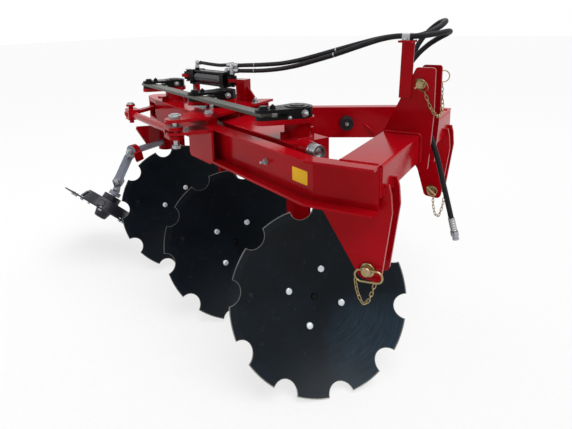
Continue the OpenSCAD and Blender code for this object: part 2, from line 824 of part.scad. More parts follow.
// Swivelling carrier of the furrow wheel: boss in the fork, steering lever, post and cross shaft
module wheel_carrier() {
    boss_low = beam_bot + fork_t + seat_gap;
    boss_high = beam_top - fork_t - seat_gap;
    lever_mid = link_z - 14;
    color(red) difference() {
        union() {
            translate(carrier) {
                translate([0, 0, boss_low]) cylinder(r = carrier_boss_r, h = boss_high - boss_low);
                translate([0, 0, shaft_z - 45]) cylinder(r = carrier_pin_r, h = beam_top + 6 - shaft_z + 45);
                translate([0, 0, shaft_z - 45]) cylinder(r = 50, h = beam_bot - 8 - shaft_z + 45);
            }
            slab(lever_mid - 9, lever_mid + 9) hull() {
                translate([carrier[0], carrier[1]]) circle(18, $fn = 32);
                translate(link_eye) circle(18, $fn = 32);
            }
            slab(lever_mid - 9, lever_mid + 9) translate(link_eye) circle(link_open_r + 14);
            translate([carrier[0] - 6, 0, 0]) rotate([90, 0, 90]) linear_extrude(12)
                polygon([[carrier[1] - 40, shaft_z + 10], [carrier[1] - 40, 196], [carrier[1] - 120, 202],
                    [carrier[1] - 232, 218], [carrier[1] - 240, 204], [carrier[1] - 165, shaft_z + 10]]);
        }
        translate([link_eye[0], link_eye[1], 0]) cylinder(r = link_open_r, h = 600);
        bar_y(carrier[0], shaft_z, shaft_r + run_fit, carrier[1] - shaft_len - 10, carrier[1] - 20 + seat_gap);
    }
}

// A flat bar between two points, w wide and t thick
module strut(a, b, w, t) {
    v = b - a;
    translate(a) rotate([0, acos(v[2] / norm(v)), atan2(v[1], v[0])])
        translate([0, 0, norm(v) / 2]) cube([t, w, norm(v) + w * 0.7], center = true);
}

// Cross shaft with its clamp, the hanging arm and the bracket that holds the axle
module wheel_arm() {
    shaft_end = [carrier[0], carrier[1] - shaft_len, shaft_z];
    hub_top = wheel_mid + (axle_len - 2) * wheel_axis;
    color(grey) difference() {
        union() {
            bar_y(carrier[0], shaft_z, shaft_r, shaft_end[1] - 16, carrier[1] - 20);
            bar_y(carrier[0], shaft_z, 34, shaft_end[1] - 4, shaft_end[1] + 34);
            strut(shaft_end + [-6, 12, -4], arm_top, 40, 30);
            strut(arm_top, arm_low, 44, 14);
            translate(arm_low) rotate([20, 0, 20]) cube([46, 46, 40], center = true);
            strut(arm_low, hub_top, 44, 16);
            at_wheel() translate([0, 0, axle_len - 30]) cylinder(r = 34, h = 22);
        }
        at_wheel() cylinder(r = axle_r + seat_gap, h = axle_len - 8);
    }
}

module wheel_axle() {
    color(zinc) at_wheel() {
        translate([0, 0, -34]) cylinder(r = axle_r, h = axle_len + 34 - 8 - seat_gap);
    }
}

// Wheel: thin flange, drum with a domed face, and the hub on both sides
module furrow_wheel() {
    hub_top = axle_len - 36;
    color(black) at_wheel() difference() {
        union() {
            translate([0, 0, -4]) cylinder(r = wheel_r, h = 8);
            difference() {
                cylinder(r1 = drum_r, r2 = drum_r - 26, h = drum_h);
                translate([0, 0, drum_h - 12]) cylinder(r1 = drum_r - 44, r2 = drum_r - 36, h = 20);
            }
            cylinder(r = 52, h = hub_top);
            translate([0, 0, -42]) cylinder(r1 = 34, r2 = 46, h = 42);
        }
        translate([0, 0, -36]) cylinder(r = axle_r + run_fit, h = 300);
    }
}

// Steering link between the frame's ear and the carrier's lever, with a yoke at each end
yoke_gap = link_ear_t + 10;
link_yoke_r = 31;
link_bar_r = 18;
yoke_t = 16;
module yoke(r) {
    for (side = [-1, 1]) translate([0, 0, side * (yoke_gap + yoke_t) / 2]) {
        cylinder(r = r, h = yoke_t, center = true);
        translate([0, -r, -yoke_t / 2]) cube([64, 2 * r, yoke_t]);
    }
    translate([52, -r, -yoke_gap / 2 - yoke_t]) cube([14, 2 * r, yoke_gap + 2 * yoke_t]);
}

module steering_link() {
    v = link_eye - link_pin;
    turn = atan2(v[1], v[0]);
    near_z = ear_low + link_ear_t / 2;
    far_z = link_z - 14;
    color(red) difference() {
        union() {
            translate([link_pin[0], link_pin[1], near_z]) rotate([0, 0, turn]) yoke(link_yoke_r);
            translate([link_eye[0], link_eye[1], far_z]) rotate([0, 0, turn + 180]) yoke(link_yoke_r);
            translate([link_eye[0], link_eye[1], far_z - 52]) cylinder(r = link_pin_r, h = 100);
            translate([link_eye[0], link_eye[1], far_z + 38]) cylinder(r = 24, h = 12, $fn = 6);
            hull() {
                translate([link_pin[0], link_pin[1], near_z]) rotate([0, 0, turn])
                    translate([60, 0, 0]) rotate([0, 90, 0]) cylinder(r = link_bar_r, h = 4, $fn = 32);
                translate([link_eye[0], link_eye[1], far_z]) rotate([0, 0, turn])
                    translate([-64, 0, 0]) rotate([0, 90, 0]) cylinder(r = link_bar_r, h = 4, $fn = 32);
            }
        }
        translate([link_pin[0], link_pin[1], 0]) cylinder(r = link_pin_r + run_fit, h = 600);
    }
}

channel_right();
channel_left();
cross_beam();
bridge_top();
bridge_bottom();
mast();
hitch_plates_right();
hitch_plates_left();
lower_pin_right();
lower_pin_left();
top_pin();
hose_post();
hose_clamp();
buffer_right();
buffer_left();
cylinder_bracket();
link_bolt();
feed_hose();
return_hose();
feed_coupling();
return_coupling();
beam();
beam_nose();
beam_end_ring();
cylinder_arm();
column_front();
column_middle();
column_rear();
lever_front();
lever_middle();
lever_rear();
hub_front();
hub_middle();
hub_rear();
disc_front();
disc_middle();
disc_rear();
tie_bar();
barrel();
cylinder_ports();
piston_rod();
wheel_carrier();
wheel_arm();
wheel_axle();
furrow_wheel();
steering_link();
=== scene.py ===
"""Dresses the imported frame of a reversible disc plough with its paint, bolts, welds, chains and hoses."""

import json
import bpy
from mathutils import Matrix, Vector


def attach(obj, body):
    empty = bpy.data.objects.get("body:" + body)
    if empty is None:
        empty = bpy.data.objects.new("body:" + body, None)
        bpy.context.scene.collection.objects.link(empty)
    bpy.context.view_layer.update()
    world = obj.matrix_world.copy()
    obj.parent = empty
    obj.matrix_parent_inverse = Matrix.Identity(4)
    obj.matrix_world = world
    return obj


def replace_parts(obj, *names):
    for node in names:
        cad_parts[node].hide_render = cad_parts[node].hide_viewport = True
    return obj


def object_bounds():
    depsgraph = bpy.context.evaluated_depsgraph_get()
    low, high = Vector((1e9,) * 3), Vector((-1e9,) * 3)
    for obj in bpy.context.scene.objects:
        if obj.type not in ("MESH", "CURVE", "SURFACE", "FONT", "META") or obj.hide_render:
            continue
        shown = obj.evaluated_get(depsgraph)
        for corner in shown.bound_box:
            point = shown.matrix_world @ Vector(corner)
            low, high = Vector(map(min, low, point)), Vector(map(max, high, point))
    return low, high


bl_info = {
    "name": "Disc Plough",
    "version": (1, 0, 0),
    "blender": (4, 5, 0),
    "location": "3D View > Sidebar > Disc Plough",
    "description": "Finishes the frame of a reversible disc plough and adds its small parts",
    "category": "Object",
}

from math import asin, atan2, copysign, cos, pi, radians, sin, tau

import bmesh
import bpy
from bpy.props import FloatProperty, FloatVectorProperty, IntProperty, PointerProperty
from mathutils import Matrix, Vector

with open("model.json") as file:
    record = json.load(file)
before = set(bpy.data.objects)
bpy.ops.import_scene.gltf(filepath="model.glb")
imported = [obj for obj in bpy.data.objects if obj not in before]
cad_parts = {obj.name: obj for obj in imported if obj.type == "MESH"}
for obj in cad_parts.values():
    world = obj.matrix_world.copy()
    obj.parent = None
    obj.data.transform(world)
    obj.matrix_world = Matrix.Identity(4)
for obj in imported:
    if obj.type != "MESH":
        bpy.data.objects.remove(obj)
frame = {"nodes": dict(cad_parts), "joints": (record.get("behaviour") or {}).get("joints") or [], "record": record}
CAD_BOX = [list(corner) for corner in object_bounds()]
NODES = frame["nodes"]
JOINTS = {joint["name"]: joint for joint in frame["joints"]}
STATIONS = ("front", "middle", "rear")
SIDES = (-1, 1)
FINISHES = {}

# Directions and angles of the part
UP = Vector((0, 0, 1))
BEAM_ANGLE = radians(-25.6)
TAPER = -BEAM_ANGLE
LEVER_ANGLE = radians(235.5)
LEVER_DIR = Vector((cos(LEVER_ANGLE), sin(LEVER_ANGLE), 0))
LEVER_SIDE = Vector((-LEVER_DIR.y, LEVER_DIR.x, 0))
DISC_TURNS = {"front": 0.0, "middle": radians(-15.2), "rear": radians(9.7)}
FIRST_BOLT = radians(70.8)
FIRST_NOTCH = radians(5.9)
# Angle past a disc's first notch at which the painted sheen on its face is centred
SHEEN_ANGLE = radians(37)

# How far a notch's centre lies past a disc's radius, in metres
NOTCH_OUT = 0.004

# Bend of a side channel's web, in millimetres
BEND_X = -185
BEND_Y = 507

# Creases above these angles, in degrees, are sharp
CREASE = 35
FLAT_CREASE = 15

# Washers, and how far up a nut sits on one, in millimetres
WASHER_THICK = 3
WASHER_SEAT = 2.6

# Links of the chains, in millimetres
LINK_RADIUS = 5.0
LINK_STRETCH = 4.5

# Stage: each lamp's name, kind, place and power, then the fitted camera
WHITE = (1, 1, 1, 1)
LAMPS = (
    ("key", "SUN", (0.9, -0.5, 3.9), 2.5),
    ("fill", "AREA", (-3.4, -2.2, 2.2), 22.0),
    ("rim", "AREA", (-1.4, 2.6, 3.6), 34.0))
LAMP_AIM = Vector((-0.7, -0.05, 0.1))
SUN_ANGLE = radians(50)
AREA_SIZE = 2.4
SKY_STRENGTH = 0.28
FLOOR_GLOW = 0.78
FLOOR_REACH = 30
FLOOR_DROP = 0.0005
CAMERA_PLACE = (0.48815, -1.90646, 0.79780)
CAMERA_TURN = (120.4588, -13.0118, -1.2782)
CAMERA_SENSOR = 36
CAMERA_LENS = 31.463
CAMERA_SHIFT = (0.0244, -0.1415)


# Places, in millimetres of the part's own frame
def mm(x, y, z):
    """A point given in millimetres, in metres."""
    return Vector((x, y, z)) / 1000


def path(*points):
    """Points given in millimetres, in metres."""
    return [mm(*point) for point in points]


def moved(x, y, z):
    """The placing at a point given in millimetres."""
    return Matrix.Translation(mm(x, y, z))


def turned(angle, axis):
    """The turn by an angle about one of the axes."""
    return Matrix.Rotation(angle, 4, axis)


def axes(x, y, z):
    """The turn of a part whose own axes lie along three directions."""
    return Matrix((x, y, z)).transposed()


def joint_place(name):
    """Where a joint of the frame sits."""
    return Vector(JOINTS[name]["pos_m"])


def joint_axis(name):
    """The direction of a joint's axis."""
    return Vector(JOINTS[name]["axis"]).normalized()


def disc_axes(joint):
    """A disc's own directions: down its face, across it and along its axis."""
    axis = joint_axis(joint)
    down = (axis * axis.z - UP).normalized()
    return down, axis.cross(down), axis


def beam_place(along, across, z):
    """A point on the swinging beam: along it, across it and up, in millimetres."""
    out = turned(BEAM_ANGLE, "Z") @ mm(along, across, 0)
    pivot = joint_place("beam_swing")
    return Vector((pivot.x + out.x, pivot.y + out.y, z / 1000))


def aimed(at, axis, roll=0.0):
    """The placing that puts a part's foot at a point and its +Z along an axis."""
    turn = Vector(axis).to_track_quat("Z", "Y").to_matrix().to_4x4()
    return Matrix.Translation(at) @ turn @ turned(roll, "Z")


def channel_point(dist, off, z, side):
    """A point on a side channel's taper: back from its bend, out from the web, and up."""
    x = BEND_X - dist * cos(TAPER) - off * sin(TAPER)
    y = BEND_Y - dist * sin(TAPER) + off * cos(TAPER)
    return mm(x, side * y, z)


def channel_normal(side):
    """The outward direction of a tapered web."""
    return Vector((-sin(TAPER), side * cos(TAPER), 0))


# Lines
def smooth_line(points, per):
    """A smooth line through the points, with a number of steps for each stretch."""
    line = []
    last = len(points) - 1
    for i in range(last):
        a, b = points[max(i - 1, 0)], points[i]
        c, d = points[i + 1], points[min(i + 2, last)]
        for k in range(per):
            t = k / per
            line.append(0.5 * (2 * b + (c - a) * t + (2 * a - 5 * b + 4 * c - d) * t ** 2
                               + (3 * b - a - 3 * c + d) * t ** 3))
    line.append(points[-1].copy())
    return line


def line_length(line):
    """Length of a line of points."""
    return sum((b - a).length for a, b in zip(line, line[1:]))


def even_line(line, step):
    """The same line with points at even steps."""
    total = line_length(line)
    count = max(2, round(total / step))
    marks = [total * k / count for k in range(count + 1)]
    out = []
    walked = 0.0
    i = 0
    for mark in marks:
        while i < len(line) - 2 and walked + (line[i + 1] - line[i]).length < mark:
            walked += (line[i + 1] - line[i]).length
            i += 1
        piece = line[i + 1] - line[i]
        share = (mark - walked) / piece.length if piece.length else 0.0
        out.append(line[i] + piece * min(max(share, 0.0), 1.0))
    return out


# Making pieces
def finish_piece(obj, finish, body):
    """Gives a piece its finish and the body it rides on."""
    bpy.context.scene.collection.objects.link(obj)
    obj.data.materials.append(FINISHES[finish])
    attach(obj, body)
    return obj


def mesh_piece(name, shape, finish, body, crease=CREASE):
    """Turns a bmesh into a piece with smooth faces and sharp creases."""
    mesh = bpy.data.meshes.new(name)
    shape.to_mesh(mesh)
    shape.free()
    mesh.shade_smooth()
    mesh.set_sharp_from_angle(angle=radians(crease))
    return finish_piece(bpy.data.objects.new(name, mesh), finish, body)


def tube_piece(name, lines, radius, finish, body, ripple=0.0, sides=4):
    """A piece of one or more round bars along lines of points; ripple makes the waves of a weld."""
    curve = bpy.data.curves.new(name, "CURVE")
    curve.dimensions = "3D"
    curve.bevel_depth = radius
    curve.bevel_resolution = sides
    curve.use_fill_caps = True
    for line in lines:
        spline = curve.splines.new("POLY")
        spline.points.add(len(line) - 1)
        spline.use_smooth = True
        for i, (point, at) in enumerate(zip(spline.points, line)):
            point.co = (*at, 1)
            point.radius = 1 + ripple * (sin(i * 1.9) + 0.5 * sin(i * 0.61 + 1))
    return finish_piece(bpy.data.objects.new(name, curve), finish, body)


def put(shape, part, place):
    """Adds a finished part to a shape at its place."""
    bmesh.ops.remove_doubles(part, verts=part.verts[:], dist=1e-6)
    bmesh.ops.recalc_face_normals(part, faces=part.faces[:])
    part.transform(place)
    scrap = bpy.data.meshes.new("scrap")
    part.to_mesh(scrap)
    part.free()
    shape.from_mesh(scrap)
    bpy.data.meshes.remove(scrap)


def spun(part, steps):
    """Turns a part's profile once round Z."""
    bmesh.ops.spin(part, geom=part.verts[:] + part.edges[:], cent=(0, 0, 0), axis=(0, 0, 1),
                   angle=tau, steps=steps, use_merge=True)
    return part


def lathe(profile, steps=32):
    """A turned part from a profile of radius and height, in millimetres."""
    part = bmesh.new()
    verts = [part.verts.new(mm(r, 0, z)) for r, z in profile]
    for pair in zip(verts, verts[1:]):
        part.edges.new(pair)
    return spun(part, steps)


def break_edges(part, edges, size):
    """Rounds edges off by a size in millimetres."""
    bmesh.ops.bevel(part, geom=edges, offset=size / 1000, offset_type="OFFSET", segments=2,
                    profile=0.5, affect="EDGES", material=-1)


def shift_verts(part, geom, by):
    """Moves those of some elements that are points."""
    verts = [item for item in geom if isinstance(item, bmesh.types.BMVert)]
    bmesh.ops.translate(part, vec=by, verts=verts)


def hexagon(across, height, dome=0.14):
    """A hexagon head or nut with its corners turned off, in millimetres."""
    part = bmesh.new()
    radius = across / 2000 / cos(pi / 6)
    high = height / 1000
    bmesh.ops.create_cone(part, cap_ends=True, segments=6, radius1=radius, radius2=radius, depth=high)
    bmesh.ops.translate(part, vec=(0, 0, high / 2), verts=part.verts[:])
    top = [edge for edge in part.edges if all(vert.co.z > high * 0.9 for vert in edge.verts)]
    break_edges(part, top, height * dome)
    return part


def thread(radius, length, pitch=2.0, depth=0.55, point=1.4):
    """A threaded stud end, in millimetres."""
    profile = [(0, 0)]
    turns = max(2, int(length / pitch))
    for k in range(turns):
        profile += [(radius, k * pitch), (radius - depth, (k + 0.5) * pitch)]
    end = turns * pitch
    profile += [(radius, end), (radius - point, end + point), (0, end + point)]
    return lathe(profile, steps=16)


def washer(radius):
    """A flat washer with a broken edge, in millimetres."""
    side = WASHER_THICK * 0.7
    profile = [(0, 0), (radius, 0), (radius, side), (radius * 0.97, WASHER_THICK), (0, WASHER_THICK)]
    return lathe(profile, steps=28)


def bolt(shape, at, axis, across, height, washer_r, stud=0, roll=0.2):
    """Adds a hexagon bolt head on a washer, with a stud end where it shows."""
    put(shape, washer(washer_r), aimed(at, axis))
    put(shape, hexagon(across, height), aimed(at, axis, roll) @ moved(0, 0, WASHER_SEAT))
    if stud:
        top = WASHER_SEAT + height - 1
        put(shape, thread(across * 0.3, stud), aimed(at, axis) @ moved(0, 0, top))


def wire_loop(radius, wire, stretch, steps=32, sides=8):
    """A closed ring of wire, drawn out along local X by the stretch, in millimetres."""
    part = bmesh.new()
    place = moved(radius, 0, 0) @ turned(pi / 2, "X")
    bmesh.ops.create_circle(part, segments=sides, radius=wire / 1000, matrix=place)
    spun(part, steps)
    for vert in part.verts:
        if abs(vert.co.x) > 1e-6:
            vert.co.x += copysign(stretch / 1000, vert.co.x)
    return part


def chain(shape, points):
    """Adds a chain of oval links along a line of points."""
    wire = sizes().chain_wire * 1000
    pitch = 2 * (LINK_RADIUS + LINK_STRETCH - wire) / 1000
    line = even_line(smooth_line(points, 16), pitch)
    for i, (at, following) in enumerate(zip(line, line[1:])):
        along = (following - at).normalized()
        turn = along.to_track_quat("X", "Z").to_matrix().to_4x4()
        flat = turned(pi / 2 * (i % 2) + 0.35, "X")
        put(shape, wire_loop(LINK_RADIUS, wire, LINK_STRETCH, steps=12, sides=6),
            Matrix.Translation((at + following) / 2) @ turn @ flat)


def plate(outline, thick, edge):
    """A flat plate from a plan in millimetres, with its edges broken."""
    part = bmesh.new()
    face = part.faces.new([part.verts.new(mm(x, y, 0)) for x, y in outline])
    raised = bmesh.ops.extrude_face_region(part, geom=[face])["geom"]
    shift_verts(part, raised, mm(0, 0, thick))
    break_edges(part, part.edges[:], edge)
    return part


def rounded_plan(width, height, corner, steps=6):
    """Plan of a rectangle with rounded corners, centred, in millimetres."""
    plan = []
    for sx, sy, start in ((1, 1, 0), (-1, 1, 90), (-1, -1, 180), (1, -1, 270)):
        for k in range(steps + 1):
            angle = radians(start + 90 * k / steps)
            plan.append((sx * (width / 2 - corner) + corner * cos(angle),
                         sy * (height / 2 - corner) + corner * sin(angle)))
    return plan


# Finishes
class Finish:
    """A node material in the making."""

    def __init__(self, name):
        self.material = bpy.data.materials.new(name)
        self.material.use_nodes = True
        self.tree = self.material.node_tree
        self.shader = self.tree.nodes["Principled BSDF"]
        self.coords = self.add("ShaderNodeTexCoord").outputs["Object"]

    def add(self, kind, **settings):
        """A new node with its settings."""
        made = self.tree.nodes.new(kind)
        for key, value in settings.items():
            setattr(made, key, value)
        return made

    def join(self, source, socket):
        """Links a socket to a source, or sets it where the source is a plain value."""
        if isinstance(source, bpy.types.NodeSocket):
            self.tree.links.new(source, socket)
        else:
            socket.default_value = source

    def fill(self, made, **sockets):
        """Joins a node's sockets by name, with an underscore for each space."""
        for key, value in sockets.items():
            self.join(value, made.inputs[key.replace("_", " ")])
        return made

    def mapped(self, location=(0, 0, 0), rotation=(0, 0, 0), scale=(1, 1, 1), kind="POINT", source=None):
        """Coordinates moved, turned and scaled."""
        made = self.add("ShaderNodeMapping", vector_type=kind)
        self.fill(made, Vector=source or self.coords, Location=location, Rotation=rotation, Scale=scale)
        return made.outputs["Vector"]

    def noise(self, scale, detail, rough, vector=None):
        """Noise of a scale."""
        made = self.add("ShaderNodeTexNoise")
        self.fill(made, Vector=vector or self.coords, Scale=scale, Detail=detail, Roughness=rough)
        return made.outputs["Fac"]

    def spread(self, value, low, high, to_low=0.0, to_high=1.0):
        """A value's range drawn out to another."""
        made = self.add("ShaderNodeMapRange")
        self.fill(made, Value=value, From_Min=low, From_Max=high, To_Min=to_low, To_Max=to_high)
        return made.outputs["Result"]

    def calc(self, operation, a, b=0.0):
        """A sum on one or two values."""
        made = self.add("ShaderNodeMath", operation=operation)
        self.join(a, made.inputs[0])
        self.join(b, made.inputs[1])
        return made.outputs[0]

    def times(self, a, b):
        """Two values multiplied."""
        return self.calc("MULTIPLY", a, b)

    def length(self, a, b):
        """The length of two sides at a right angle."""
        squares = self.calc("ADD", self.calc("POWER", a, 2.0), self.calc("POWER", b, 2.0))
        return self.calc("SQRT", squares)

    def mix(self, share, a, b):
        """Two colours mixed."""
        made = self.add("ShaderNodeMix", data_type="RGBA")
        self.fill(made, Factor=share, A=a, B=b)
        return made.outputs["Result"]

    def bump(self, height, strength, distance):
        """Gives the shader a bumped surface."""
        made = self.fill(self.add("ShaderNodeBump"), Height=height, Strength=strength, Distance=distance)
        self.join(made.outputs["Normal"], self.shader.inputs["Normal"])

    def set(self, **sockets):
        """Sets the shader's sockets and gives the material."""
        self.fill(self.shader, **sockets)
        return self.material


def tint(colour, share=1.0):
    """A colour with its alpha, made lighter or darker."""
    return (*[min(1.0, part * share) for part in colour], 1.0)


def enamel(name, colour, gloss=0.13, peel=0.03, shine=0.07):
    """Gloss paint with slow colour drift, a trace of dust and fine orange peel."""
    made = Finish(name)
    drift = made.noise(3.5, 4.0, 0.6)
    dust = made.spread(made.noise(46.0, 5.0, 0.65), 0.56, 0.76)
    shade = made.mix(made.spread(drift, 0.3, 0.7), tint(colour, 0.82), tint(colour, 1.12))
    shade = made.mix(made.times(dust, 0.03), shade, tint((0.25, 0.19, 0.18)))
    made.bump(made.noise(420.0, 2.0, 0.5), peel, 0.002)
    rough = made.spread(drift, 0.25, 0.75, gloss - 0.06, gloss + 0.08)
    return made.set(Base_Color=shade, Roughness=rough, Specular_IOR_Level=shine)


def plated(name, colour, rough=0.28, warm=(0.4, 0.4, 0.4), blotch=0.3):
    """Bright plated steel with passivation blotches and fine turning marks."""
    made = Finish(name)
    spots = made.spread(made.noise(38.0, 4.0, 0.6), 0.42, 0.68)
    marks = made.noise(260.0, 2.0, 0.6, made.mapped(scale=(1, 1, 9)))
    shade = made.mix(made.times(spots, blotch), tint(colour), tint(warm))
    made.bump(marks, 0.08, 0.001)
    rough = made.spread(marks, 0.3, 0.7, rough - 0.07, rough + 0.12)
    return made.set(Base_Color=shade, Metallic=0.92, Roughness=rough)


def rubber(name, colour):
    """Dull black rubber with a fine grain and paler dust."""
    made = Finish(name)
    grain = made.noise(520.0, 3.0, 0.6)
    dust = made.spread(made.noise(22.0, 4.0, 0.6), 0.45, 0.75)
    shade = made.mix(made.times(dust, 0.18), tint(colour), tint((0.07, 0.068, 0.072)))
    made.bump(grain, 0.16, 0.001)
    rough = made.spread(grain, 0.3, 0.7, 0.44, 0.62)
    return made.set(Base_Color=shade, Roughness=rough, Specular_IOR_Level=0.18)


def mill_steel(name, colour, angle):
    """Rolled flat steel with long mill streaks and a thin oil film."""
    made = Finish(name)
    level = made.mapped(rotation=(0, 0, -angle))
    streaks = made.noise(4.0, 4.0, 0.6, made.mapped(scale=(1.2, 60, 60), source=level))
    oil = made.spread(made.noise(7.0, 4.0, 0.6), 0.4, 0.7)
    shade = made.mix(made.spread(streaks, 0.3, 0.7), tint(colour, 0.72), tint(colour, 1.28))
    film = made.mix(made.times(oil, 0.4), shade, tint((0.11, 0.10, 0.07)))
    made.bump(streaks, 0.1, 0.001)
    rough = made.spread(streaks, 0.25, 0.75, 0.30, 0.48)
    return made.set(Base_Color=film, Metallic=0.75, Roughness=rough)


def worn_edge(made, reach, angle, first_notch):
    """One at the edge of a disc's rim and of its notches, and zero inside."""
    disc_r, notch_r = sizes().disc_r, sizes().notch_r
    pitch = tau / sizes().notches
    past = made.calc("SUBTRACT", angle, first_notch - pitch / 2)
    step = made.calc("SUBTRACT", made.calc("FLOORED_MODULO", past, pitch), pitch / 2)
    out = made.times(reach, made.calc("COSINE", step))
    across = made.calc("SUBTRACT", out, disc_r + NOTCH_OUT)
    beside = made.times(reach, made.calc("SINE", step))
    rim = made.spread(reach, disc_r - 0.0045, disc_r - 0.002)
    lip = made.spread(made.length(across, beside), notch_r + 0.0008, notch_r + 0.0026, 1.0, 0.0)
    return made.calc("MAXIMUM", rim, lip)


def dish_steel(name, joint, first_notch, colour, steel):
    """Black dish with handling marks, a wedge of painted sheen streaked by those marks, a ground band and bare
    steel at its edges.
    """
    made = Finish(name)
    turn = axes(*disc_axes(joint)).to_euler("XYZ")
    local = made.mapped(joint_place(joint), turn, kind="TEXTURE")
    parts = made.add("ShaderNodeSeparateXYZ")
    made.join(local, parts.inputs[0])
    x, y = parts.outputs[0], parts.outputs[1]
    reach = made.length(x, y)
    angle = made.calc("ARCTAN2", y, x)
    swirl = made.add("ShaderNodeCombineXYZ")
    made.fill(swirl, X=made.times(angle, 0.9), Y=made.times(reach, 55.0))
    marks = made.noise(3.2, 5.0, 0.65, swirl.outputs[0])
    cloud = made.noise(5.5, 4.0, 0.6, local)
    scuff = made.spread(made.noise(34.0, 6.0, 0.7, local), 0.60, 0.74)
    shade = made.mix(made.spread(cloud, 0.35, 0.7), tint(colour, 0.7), tint(colour, 1.5))
    band = made.spread(reach, sizes().disc_r - 0.031, sizes().disc_r - 0.027)
    shade = made.mix(made.times(band, 0.55), shade, tint(colour, 1.9))
    shade = made.mix(made.times(scuff, 0.16), shade, tint((0.11, 0.115, 0.125)))
    # Painted sheen: a wedge of the dish, streaked by the handling marks, is made up to nine times lighter in place
    # of a highlight
    toward = made.calc("COSINE", made.calc("SUBTRACT", angle, first_notch + SHEEN_ANGLE))
    sheen_wedge = made.times(made.spread(toward, 0.70, 0.98), made.spread(reach, 0.05, 0.16))
    streaks = made.spread(marks, 0.32, 0.68, 0.25, 1.0)
    streaks = made.times(streaks, made.spread(cloud, 0.3, 0.6, 0.5, 1.0))
    shade = made.mix(made.times(made.times(sheen_wedge, streaks), 0.75), shade, tint(colour, 9.0))
    worn = worn_edge(made, reach, angle, first_notch)
    edge = made.times(worn, made.spread(cloud, 0.25, 0.6, 0.15, 0.8))
    shade = made.mix(edge, shade, tint(steel))
    made.bump(made.calc("ADD", made.times(marks, 0.6), made.times(scuff, 0.3)), 0.07, 0.0015)
    rough = made.calc("ADD", made.spread(marks, 0.3, 0.7, 0.30, 0.42), made.times(scuff, 0.12))
    return made.set(Base_Color=shade, Metallic=made.times(edge, 0.7), Roughness=rough,
                    Specular_IOR_Level=0.12)


def seen_rays(tree):
    """One for rays that show the background, straight or in metal or glass, and zero for the rest."""
    rays = tree.nodes.new("ShaderNodeLightPath").outputs
    total = rays["Is Camera Ray"]
    for kind in ("Is Glossy Ray", "Is Transmission Ray"):
        top = tree.nodes.new("ShaderNodeMath")
        top.operation = "MAXIMUM"
        tree.links.new(total, top.inputs[0])
        tree.links.new(rays[kind], top.inputs[1])
        total = top.outputs[0]
    return total


def studio_floor(name, colour):
    """Pale matt floor that takes a soft shadow."""
    made = Finish(name)
    grain = made.noise(60.0, 3.0, 0.5)
    shade = made.mix(made.spread(grain, 0.3, 0.7), tint(colour, 0.985), tint(colour))
    lit = made.fill(made.add("ShaderNodeEmission"), Color=shade, Strength=1.0)
    both = made.fill(made.add("ShaderNodeMixShader"), Fac=made.times(seen_rays(made.tree), FLOOR_GLOW))
    made.join(made.shader.outputs[0], both.inputs[1])
    made.join(lit.outputs[0], both.inputs[2])
    made.join(both.outputs[0], made.tree.nodes["Material Output"].inputs["Surface"])
    return made.set(Base_Color=shade, Roughness=0.9)


# Settings
def colour_setting(label, words, value):
    """A colour that a user may change."""
    return FloatVectorProperty(name=label, description=words, subtype="COLOR", size=3, min=0, max=1,
                               default=value)


def length_setting(label, words, value):
    """A length that a user may change."""
    return FloatProperty(name=label, description=words, unit="LENGTH", min=0, default=value)


class PloughColours(bpy.types.PropertyGroup):
    """Colours of the plough's finishes"""

    frame_red: colour_setting("Frame red", "Enamel of the frame, beam and columns", (0.37, 0.0013, 0.0060))
    gloss_black: colour_setting("Gloss black", "Paint of the levers and cylinder", (0.0030, 0.0032, 0.0040))
    disc_black: colour_setting("Disc black", "Lacquer of the discs", (0.0030, 0.0056, 0.0086))
    bare_steel: colour_setting("Bare steel", "Worn edges of the discs", (0.30, 0.30, 0.27))
    bar_steel: colour_setting("Bar steel", "Rolled steel of the tie bar", (0.072, 0.073, 0.064))
    dark_steel: colour_setting("Dark steel", "Polished tube of the cylinder", (0.085, 0.090, 0.094))
    arm_grey: colour_setting("Arm grey", "Paint of the furrow wheel's arm", (0.24, 0.26, 0.32))
    wheel_dark: colour_setting("Wheel dark", "Paint of the furrow wheel", (0.014, 0.015, 0.022))
    zinc: colour_setting("Zinc", "Bright plating of bolts and fittings", (0.36, 0.37, 0.385))
    bright_zinc: colour_setting("Bright zinc", "Plating of the disc bolts", (0.62, 0.67, 0.70))
    yellow_zinc: colour_setting("Yellow zinc", "Plating of the pins, rings and chains", (0.31, 0.255, 0.12))
    rubber: colour_setting("Rubber", "Hoses and buffers", (0.0065, 0.0060, 0.0085))
    patch: colour_setting("Patch", "Plain patch on the near channel", (0.86, 0.50, 0.02))
    floor: colour_setting("Floor", "Studio floor", (0.96, 0.96, 0.96))


class PloughSizes(bpy.types.PropertyGroup):
    """Sizes of the plough's small parts"""

    hose_diameter: length_setting("Hose diameter", "Outer diameter of the hydraulic hoses", 0.020)
    weld_size: length_setting("Weld size", "Radius of the larger weld beads", 0.0048)
    chain_wire: length_setting("Chain wire", "Radius of the wire in the chain links", 0.0017)
    disc_r: length_setting("Disc radius", "Radius of a disc at its lugs", 0.330)
    notch_r: length_setting("Notch radius", "Radius of the notches in a disc", 0.045)
    notches: IntProperty(name="Notches", description="Number of notches in a disc", min=3, default=10)


def colours():
    """The colour settings."""
    return bpy.context.scene.plough_colours


def sizes():
    """The size settings."""
    return bpy.context.scene.plough_sizes


